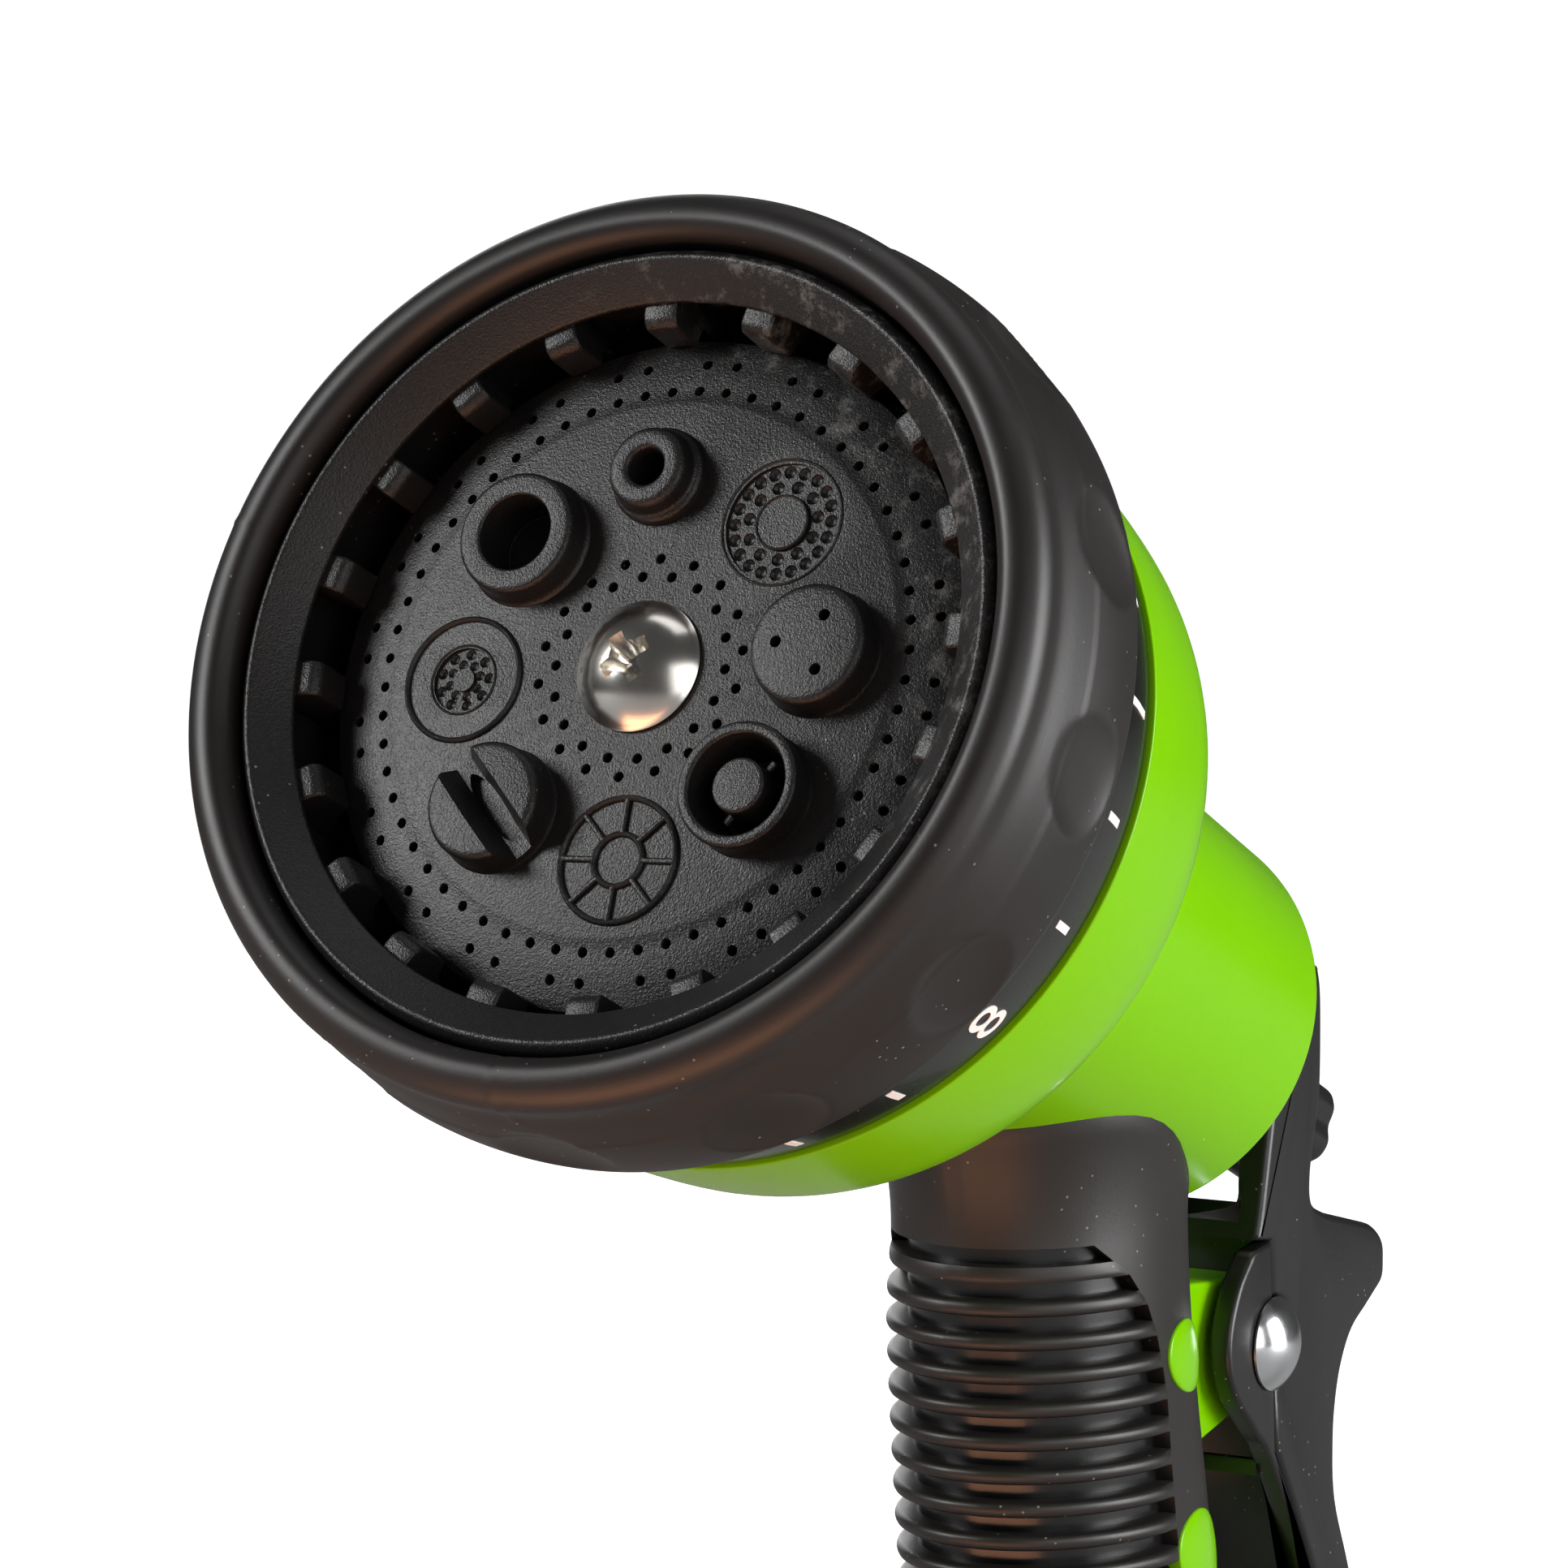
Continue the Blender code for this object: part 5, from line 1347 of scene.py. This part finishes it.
class NOZZLE_OT_core(bpy.types.Operator):
    """Green handle core that shows along the back, the pivot lug and the oval side windows"""

    bl_idname = "nozzle.core"
    bl_label = "Handle Core"

    def execute(self, context):
        sizes = context.scene.nozzle_handle
        edge = sizes.sleeve_edge
        turn = np.concatenate(
            [
                np.linspace(-edge - 0.5, edge + 0.5, 60),
                edge + 1.2 + np.linspace(0.0, 1.0, 36) * (360.0 - 2 * edge - 2.4),
            ]
        )
        under = sizes.sleeve_thickness + 0.3
        step = np.minimum(np.abs(turn - edge - 1.2), np.abs(turn - (360.0 - edge - 1.2)))
        back = np.where(np.abs(turn) <= edge + 0.6, under, 0.55 * np.exp(-step / 2.2))
        z = np.linspace(18.0, 150.0, 90)[:, None]
        sole = 1.2 * np.exp(-(z - 18.0) / 0.6)
        points = section(z, turn[None, :], back[None, :] + sole, sizes)
        points[..., 1] = np.minimum(points[..., 1], core_back_limit(points[..., 2], sizes))
        rows, columns = points.shape[:2]
        ends = (range(columns), range((rows - 1) * columns, rows * columns))
        mesh = to_mesh("handle_core", skin(points, wrap_columns=True), ends)
        piece("handle_core", mesh, "body", FINISH["green"], (), 40.0)
        lug = np.concatenate([[(-12.4, 7.2), (-5.0, 6.3)], arc((0.0, 0.0), 6.2, 85, -85, 28), [(-12.4, -8.6)]])
        points = slab(rounded_loop(lug, 0.2, 2), -7.6, 7.6, 0.5)
        mesh = slab_mesh("pivot_lug", points + PIVOT)
        piece("pivot_lug", mesh, "body", FINISH["green"], (), 40.0)
        for index in range(sizes.windows):
            for side in (-1, 1):
                mesh = to_mesh("window", window_dome(index, side, sizes))
                name = f"grip_window_{index + 1}_{'left' if side < 0 else 'right'}"
                piece(name, mesh, "body", FINISH["green"], (), 60.0)
        return {"FINISHED"}


def window_dome(index, side, sizes):
    """A green oval that stands through the sleeve.

    At share s of its radius in direction u it lies at angle phi0 + s w cos(u) and height z0 + s h
    sin(u), raised by 0.55 (1 - s^2)^0.5 above the rubber, and its rim turns in under it.
    """
    middle = 119.1 - index * 18.2
    tall = 3.4 + (0.7 if index else 0.0)
    wide = 16.5 + (1.5 if index else 0.0)
    share = np.concatenate([np.sin(np.linspace(0.0, np.pi / 2, 14)), [1.0]])[:, None]
    u = np.linspace(0.0, 2 * np.pi, 48, endpoint=False)[None, :]
    raised = 0.12 + 0.5 * np.sqrt(np.clip(1.0 - share**2, 0.0, 1.0))
    raised[-1] = -1.2
    lean = 2.5 * np.sin(u) * share
    phi = 106.5 + share * wide * np.cos(u) - lean
    z = middle + share * tall * np.sin(u)
    points = section(z, phi, -raised, sizes)
    points[..., 0] *= side
    return skin(points, wrap_columns=True)


# --- trigger -------------------------------------------------------------------------------
def trigger_back():
    """Rear edge from the rivet, top to bottom: arm, thumb horn, palm hollow and lower sweep."""
    arm = smooth_line([(9.6, 33.6), (10.4, 30.5), (10.4, 22.0), (9.2, 17.6), (8.4, 14.0), (8.9, 11.6), (12.0, 10.2)], 6)
    horn = rounded([(12.0, 10.2), (22.8, 7.5), (25.2, 5.6), (25.2, 1.9), (21.1, -0.2)], [0.0, 1.6, 1.2, 1.2, 0.0], 6)
    palm = smooth_line(
        [
            (21.1, -0.2),
            (17.9, -1.9),
            (15.8, -4.5),
            (14.6, -7.6),
            (14.1, -11.4),
            (14.6, -17.0),
            (17.9, -24.1),
            (22.4, -35.0),
            (25.4, -48.0),
            (26.4, -61.0),
            (25.4, -73.0),
            (23.4, -80.3),
        ],
        6,
    )
    return np.concatenate([arm, horn[1:-1], palm])


def trigger_front():
    """Front edge from the rivet, bottom to top."""
    return smooth_line(
        [
            (16.9, -78.6),
            (18.4, -69.0),
            (18.8, -60.0),
            (17.6, -48.0),
            (14.2, -35.0),
            (8.0, -22.4),
            (0.2, -11.0),
            (-3.2, -7.7),
            (-7.2, -4.0),
            (-8.8, -0.9),
            (-8.8, 2.4),
            (-6.9, 6.1),
            (-4.0, 8.9),
            (-2.8, 11.1),
            (-1.8, 14.8),
            (-0.7, 19.2),
            (1.8, 29.0),
            (3.6, 33.6),
        ],
        6,
    )


def split_line(shift):
    """Joint between frame and cover, top to bottom, passing behind the rivet."""
    eye = arc((0.0, 0.0), 4.2 + shift, 88, -82, 14)
    below = np.array([(1.2, -10.2), (4.9, -15.6), (9.2, -22.4), (15.6, -35.0), (18.9, -48.0), (19.6, -57.0)])
    below[:, 0] += shift
    return np.concatenate([[(-0.2 + shift, 9.4)], eye, smooth_line(below, 5)])


def trigger_cover_mesh(sizes):
    """The cover: its outline made a slab with rounded rims, hollowed between the cheeks."""
    split = split_line(0.12)
    front = trigger_front()
    top = front[front[:, 1] > split[0, 1] + 0.3]
    bottom = front[front[:, 1] < split[-1, 1] - 0.3]
    outline = np.concatenate([trigger_back(), bottom, split[::-1], top])
    half = sizes.half_width
    cover = slab_mesh("trigger_shell", slab(outline, -half, half, sizes.edge_round))
    inside = half - sizes.cheek
    back = smooth_line(
        [
            (12.0, 6.2),
            (12.0, -1.0),
            (11.4, -8.0),
            (12.2, -17.0),
            (15.6, -24.6),
            (20.0, -35.4),
            (23.0, -48.2),
            (24.0, -61.0),
            (23.0, -73.0),
            (22.0, -77.0),
        ],
        5,
    )
    channel = np.concatenate([back, [(10.0, -77.0), (-20.0, -40.0), (-20.0, 6.2)]])
    arm = rounded_loop(
        [(-20.0, 11.4), (5.6, 11.4), (5.4, 14.0), (6.2, 17.6), (7.4, 22.0), (7.4, 31.2), (-20.0, 31.2)],
        [0.0, 1.2, 1.5, 1.5, 1.5, 1.2, 0.0],
        5,
    )
    cutters = [
        slab_mesh("cutter", slab(channel, -inside, inside)),
        slab_mesh("cutter", slab(arm, -inside, inside)),
        stem_slot(),
    ]
    return carved(cover, cutters)


def stem_slot():
    """Slot for the valve stem through the arm: a stadium in the head frame carried along the axis."""
    outline = np.concatenate([arc((0.0, 0.0), 4.6, 0, 180, 16), arc((0.0, -10.6), 4.6, 180, 360, 16)])
    levels = np.array([-119.6, -97.0])
    points = np.empty((2, len(outline), 3))
    points[..., 0] = outline[None, :, 0]
    points[..., 1] = outline[None, :, 1]
    points[..., 2] = levels[:, None]
    vertices, _ = to_head((points.reshape(-1, 3), None))
    return slab_mesh("cutter", vertices.reshape(points.shape) - PIVOT)


def trigger_frame_mesh(sizes):
    """The front frame: two cheeks with rounded rims, and the ribs that tie them."""
    split = split_line(-0.12)
    front = trigger_front()
    edge = front[(front[:, 1] > split[-1, 1] + 0.3) & (front[:, 1] < split[0, 1] - 0.3)]
    outline = np.concatenate([split, edge])
    half = sizes.half_width
    inside = half - sizes.cheek
    cheeks = [
        slab_mesh("trigger_cheeks", slab(outline, -half, -inside, 0.55)),
        slab_mesh("cheek", slab(outline, inside, half, 0.55)),
    ]
    shape = bmesh.new()
    for mesh in cheeks:
        shape.from_mesh(mesh)
    for corners in (
        [(0.5, -12.6), (1.9, -12.4), (1.5, -11.0), (0.5, -11.0)],
        [(14.2, -36.6), (15.3, -36.2), (15.2, -34.4), (14.0, -34.4)],
        [(17.7, -52.4), (18.8, -52.2), (18.7, -50.2), (17.6, -50.2)],
    ):
        rib = slab_mesh("rib", slab(rounded_loop(corners, 0.3, 3), -inside - 0.4, inside + 0.4))
        shape.from_mesh(rib)
        bpy.data.meshes.remove(rib)
    shape.to_mesh(cheeks[0])
    shape.free()
    bpy.data.meshes.remove(cheeks[1])
    return cheeks[0]


class NOZZLE_OT_trigger(bpy.types.Operator):
    """Rear palm trigger: hollow cover, front frame with ribs, and the rivet it turns on"""

    bl_idname = "nozzle.trigger"
    bl_label = "Trigger"

    def execute(self, context):
        sizes = context.scene.nozzle_trigger
        move = Matrix.Translation(Vector(PIVOT) * MM)
        for name, mesh, node in (
            ("trigger_shell", trigger_cover_mesh(sizes), "trigger_cover"),
            ("trigger_cheeks", trigger_frame_mesh(sizes), "trigger_frame"),
        ):
            mesh.transform(move)
            piece(name, mesh, "trigger", FINISH["satin_black"], (node,), 40.0)
        head = 2.0
        dome = (sizes.rivet_radius**2 + head**2) / (2 * head)
        sweep = math.degrees(math.asin(sizes.rivet_radius / dome))
        seat = sizes.half_width
        right = arc((0.0, seat + 0.35 + head - dome), dome, 90, 90 - sweep, 14)
        right = np.concatenate([right, [(sizes.rivet_radius, seat + 0.15), (sizes.rivet_radius - 0.3, seat)]])
        profile = np.concatenate([right, [(2.5, seat), (2.5, -seat)], right[::-1] * [1, -1]])
        vertices, faces = lathe(profile, 72, closed=False)
        vertices = vertices[:, [2, 0, 1]]
        mesh = to_mesh("rivet_domes", (vertices + PIVOT, faces))
        piece("rivet_domes", mesh, "trigger", FINISH["aluminium"], ("pivot_rivet",), 30.0)
        return {"FINISHED"}


class NOZZLE_OT_valve_end(bpy.types.Operator):
    """Gland nut, valve stem and lobed flow knob behind the neck"""

    bl_idname = "nozzle.valve_end"
    bl_label = "Valve Stem and Knob"

    def execute(self, context):
        sizes = context.scene.nozzle_trigger
        gland = rounded(
            [(2.9, -97.4), (8.6, -97.4), (8.6, -95.1), (7.0, -95.1), (7.0, -89.5), (2.9, -89.5)],
            [0.0, 0.5, 0.1, 0.1, 0.3, 0.0],
        )
        mesh = to_mesh("gland_cap", to_head(lathe(gland, 96)))
        piece("gland_cap", mesh, "body", FINISH["satin_black"], ("gland_nut",))
        low, high = head_span("valve_stem")
        stem = rounded(
            [
                (0.0, high),
                (1.9, high),
                (1.9, -61.7),
                (8.2, -61.7),
                (8.2, -64.3),
                (2.5, -65.3),
                (2.5, low),
                (0.0, low),
            ],
            [0.0, 0.3, 0.1, 0.4, 0.5, 0.2, 0.3, 0.0],
        )
        mesh = to_mesh("stem_rod", to_head(lathe(stem, 64, closed=False)))
        piece("stem_rod", mesh, "stem", FINISH["brass"], ("valve_stem",))
        rear, front = head_span("flow_knob")
        rise = np.concatenate([np.linspace(0.0, 0.12, 6), np.linspace(0.16, 0.84, 12), np.linspace(0.88, 1.0, 6)])
        shoulder = np.sqrt(np.clip(1.0 - np.clip(1.0 - np.minimum(rise, 1.0 - rise) / 0.12, 0.0, 1.0) ** 2, 0.0, 1.0))
        radius = sizes.knob_radius - 1.3 * (1.0 - shoulder)
        turn = np.linspace(0.0, 2 * np.pi, 160, endpoint=False)[None, :]
        lobes = 0.5 - 0.5 * np.cos(sizes.knob_lobes * turn)
        around = radius[:, None] - 0.62 * (1.0 - lobes) ** 1.5 * shoulder[:, None]
        height = (rear + (front - rear) * rise)[:, None] + 0 * turn
        side = np.stack([around * np.cos(turn), around * np.sin(turn), height], axis=2)
        flat = np.array([0.86, 0.4, 0.0])[:, None, None]
        rear_cap = side[:1] * np.concatenate([flat, flat, np.ones_like(flat)], axis=2)
        front_cap = side[-1:] * np.concatenate([flat, flat, np.ones_like(flat)], axis=2)
        grid = np.concatenate([rear_cap[::-1], side, front_cap])
        mesh = to_mesh("flow_knob_lobes", to_head(skin(grid, wrap_columns=True)))
        piece("flow_knob_lobes", mesh, "knob", FINISH["satin_black"], ("flow_knob",))
        return {"FINISHED"}


def head_span(node):
    """Lowest and highest place of a CAD node along the spray axis, in mm from the plate."""
    mesh = frame["nodes"][node].data
    flat = np.empty(len(mesh.vertices) * 3, np.float32)
    mesh.vertices.foreach_get("co", flat)
    along = (flat.reshape(-1, 3) / MM - DIAL_CENTRE) @ SPRAY_AXIS
    return float(along.min()), float(along.max())


class NOZZLE_OT_hose_end(bpy.types.Operator):
    """Push-on hose nipple with its groove and sealing ring"""

    bl_idname = "nozzle.hose_end"
    bl_label = "Hose Nipple"

    def execute(self, context):
        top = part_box("hose_nipple")[1][2] / MM
        shoulder = top - 4.2
        groove = 6.6
        nipple = rounded(
            [
                (5.0, top),
                (11.4, top),
                (11.4, shoulder),
                (7.2, shoulder - 0.6),
                (7.2, groove + 2.8),
                (8.4, groove + 1.7),
                (8.4, groove + 0.9),
                (7.0, groove + 0.9),
                (7.0, groove - 0.9),
                (8.4, groove - 0.9),
                (8.4, 0.9),
                (7.4, 0.0),
                (5.0, 0.0),
            ],
            [0.0, 0.5, 0.5, 0.5, 0.6, 0.5, 0.15, 0.1, 0.1, 0.15, 0.4, 0.3, 0.0],
        )
        mesh = to_mesh("nipple_body", lathe(nipple, 96))
        piece("nipple_body", mesh, "body", FINISH["satin_black"], ("hose_nipple",))
        ring = arc((8.22, groove), 0.78, 0, 360, 17)[:-1]
        mesh = to_mesh("nipple_ring", lathe(ring, 96))
        piece("nipple_ring", mesh, "body", FINISH["seal"], ("nipple_oring",), 80.0)
        return {"FINISHED"}


class NOZZLE_OT_inner_parts(bpy.types.Operator):
    """Finishes for the CAD pieces that stay as they are"""

    bl_idname = "nozzle.inner_parts"
    bl_label = "Inner Parts"

    def execute(self, context):
        slots = {entry["node"]: entry["material_slot"] for entry in frame["record"]["subparts"]}
        for node, obj in frame["nodes"].items():
            if obj.hide_render:
                continue
            finish = FINISH[slots[node]]
            if not obj.material_slots:
                obj.data.materials.append(finish)
            for material_slot in obj.material_slots:
                material_slot.material = finish
        return {"FINISHED"}


# --- studio --------------------------------------------------------------------------------
def area_light(name, place, target, width, height, power, tint=(1.0, 1.0, 1.0)):
    """A rectangular soft box that faces its target."""
    data = bpy.data.lights.new(name, "AREA")
    data.shape = "RECTANGLE"
    data.size = width
    data.size_y = height
    data.energy = power
    data.color = tint
    lamp = bpy.data.objects.new(name, data)
    lamp.location = place
    lamp.visible_camera = False
    lamp.rotation_euler = (Vector(target) - Vector(place)).to_track_quat("-Z", "Y").to_euler()
    bpy.context.scene.collection.objects.link(lamp)


class NOZZLE_OT_stage(bpy.types.Operator):
    """Pale floor that sweeps up behind, soft boxes and the camera"""

    bl_idname = "nozzle.stage"
    bl_label = "Studio"

    def execute(self, context):
        scene = context.scene
        run = np.array([-6.0, -3.0, 0.0, 2.4])
        sweep = arc((2.4, 1.2), 1.2, -90, 0, 16)
        side = np.concatenate([np.stack([run, 0 * run], axis=1), sweep[1:], [(3.6, 5.0)]])
        across = np.linspace(-7.0, 7.0, 3)
        points = np.empty((len(side), 3, 3))
        points[..., 0] = across[None, :]
        points[..., 1] = side[:, :1]
        points[..., 2] = side[:, 1:] - 0.0006
        mesh = to_mesh("studio_floor", skin(points / MM))
        floor = bpy.data.objects.new("studio_floor", mesh)
        mesh.materials.append(FINISH["backdrop"])
        mesh.polygons.foreach_set("use_smooth", np.ones(len(mesh.polygons), bool))
        scene.collection.objects.link(floor)
        head = tuple(DIAL_CENTRE * MM)
        area_light("key_box", (-1.05, -0.90, 0.80), head, 0.5, 0.5, 15.5)
        area_light("top_box", (0.1, 0.3, 1.5), head, 1.0, 0.8, 3.0)
        area_light("left_strip", (-0.8, 0.85, 0.25), head, 0.4, 1.2, 5.0)
        area_light("right_fill", (1.25, -0.85, 0.45), head, 0.9, 1.1, 6.0)
        area_light("right_rim", (1.15, 0.30, 0.35), head, 0.5, 0.9, 21.0)
        area_light("low_warm", (0.02, -0.22, 0.006), (0.02, -0.18, 1.0), 0.30, 0.16, 0.5, (1.0, 0.42, 0.20))
        world = bpy.data.worlds.new("studio_air")
        world.use_nodes = True
        world.node_tree.nodes["Background"].inputs["Color"].default_value = (1.0, 1.0, 1.0, 1.0)
        world.node_tree.nodes["Background"].inputs["Strength"].default_value = 0.06
        scene.world = world
        camera_data = bpy.data.cameras.new("studio_camera")
        camera_data.lens = 146.26
        camera_data.sensor_width = 36.0
        camera_data.clip_start = 0.01
        camera = bpy.data.objects.new("studio_camera", camera_data)
        azimuth = math.radians(29.21)
        elevation = math.radians(6.0)
        right = Vector((math.cos(azimuth), math.sin(azimuth), 0.0))
        back = Vector((math.sin(azimuth) * math.cos(elevation), -math.cos(azimuth) * math.cos(elevation), math.sin(elevation)))
        up = back.cross(right)
        camera.matrix_world = Matrix(
            (
                (right.x, up.x, back.x, 0.2504),
                (right.y, up.y, back.y, -0.5010),
                (right.z, up.z, back.z, 0.2277),
                (0.0, 0.0, 0.0, 1.0),
            )
        )
        scene.collection.objects.link(camera)
        scene.camera = camera
        scene.view_settings.view_transform = "Standard"
        return {"FINISHED"}


class NOZZLE_OT_finishes(bpy.types.Operator):
    """Finishes of every piece, from the chosen colours"""

    bl_idname = "nozzle.finishes"
    bl_label = "Finishes"

    def execute(self, context):
        make_finishes(context.scene.nozzle_finishes)
        return {"FINISHED"}


class NOZZLE_PT_panel(bpy.types.Panel):
    """Sizes, colours and one button for each group of pieces"""

    bl_idname = "NOZZLE_PT_panel"
    bl_label = "Spray Nozzle"
    bl_space_type = "VIEW_3D"
    bl_region_type = "UI"
    bl_category = "Nozzle"

    def draw(self, context):
        layout = self.layout
        for name in SETTINGS:
            box = layout.box()
            settings = getattr(context.scene, name)
            for key in settings.__annotations__:
                box.prop(settings, key)
        for operator in OPERATORS:
            layout.operator(operator.bl_idname)


SETTINGS = {
    "nozzle_dial": NozzleDialSizes,
    "nozzle_handle": NozzleHandleSizes,
    "nozzle_trigger": NozzleTriggerSizes,
    "nozzle_finishes": NozzleFinishes,
}

OPERATORS = (
    NOZZLE_OT_finishes,
    NOZZLE_OT_spray_plate,
    NOZZLE_OT_dial_ring,
    NOZZLE_OT_bezel,
    NOZZLE_OT_numerals,
    NOZZLE_OT_plate_screw,
    NOZZLE_OT_head,
    NOZZLE_OT_sleeve,
    NOZZLE_OT_core,
    NOZZLE_OT_trigger,
    NOZZLE_OT_valve_end,
    NOZZLE_OT_hose_end,
    NOZZLE_OT_inner_parts,
    NOZZLE_OT_stage,
)


def register():
    for name, group in SETTINGS.items():
        bpy.utils.register_class(group)
        setattr(bpy.types.Scene, name, PointerProperty(type=group))
    for operator in OPERATORS:
        bpy.utils.register_class(operator)
    bpy.utils.register_class(NOZZLE_PT_panel)


def unregister():
    bpy.utils.unregister_class(NOZZLE_PT_panel)
    for operator in reversed(OPERATORS):
        bpy.utils.unregister_class(operator)
    for name, group in reversed(SETTINGS.items()):
        delattr(bpy.types.Scene, name)
        bpy.utils.unregister_class(group)


def main():
    """Builds every piece in order."""
    register()
    for operator in OPERATORS:
        category, name = operator.bl_idname.split(".")
        getattr(getattr(bpy.ops, category), name)()


if __name__ == "__main__":
    main()
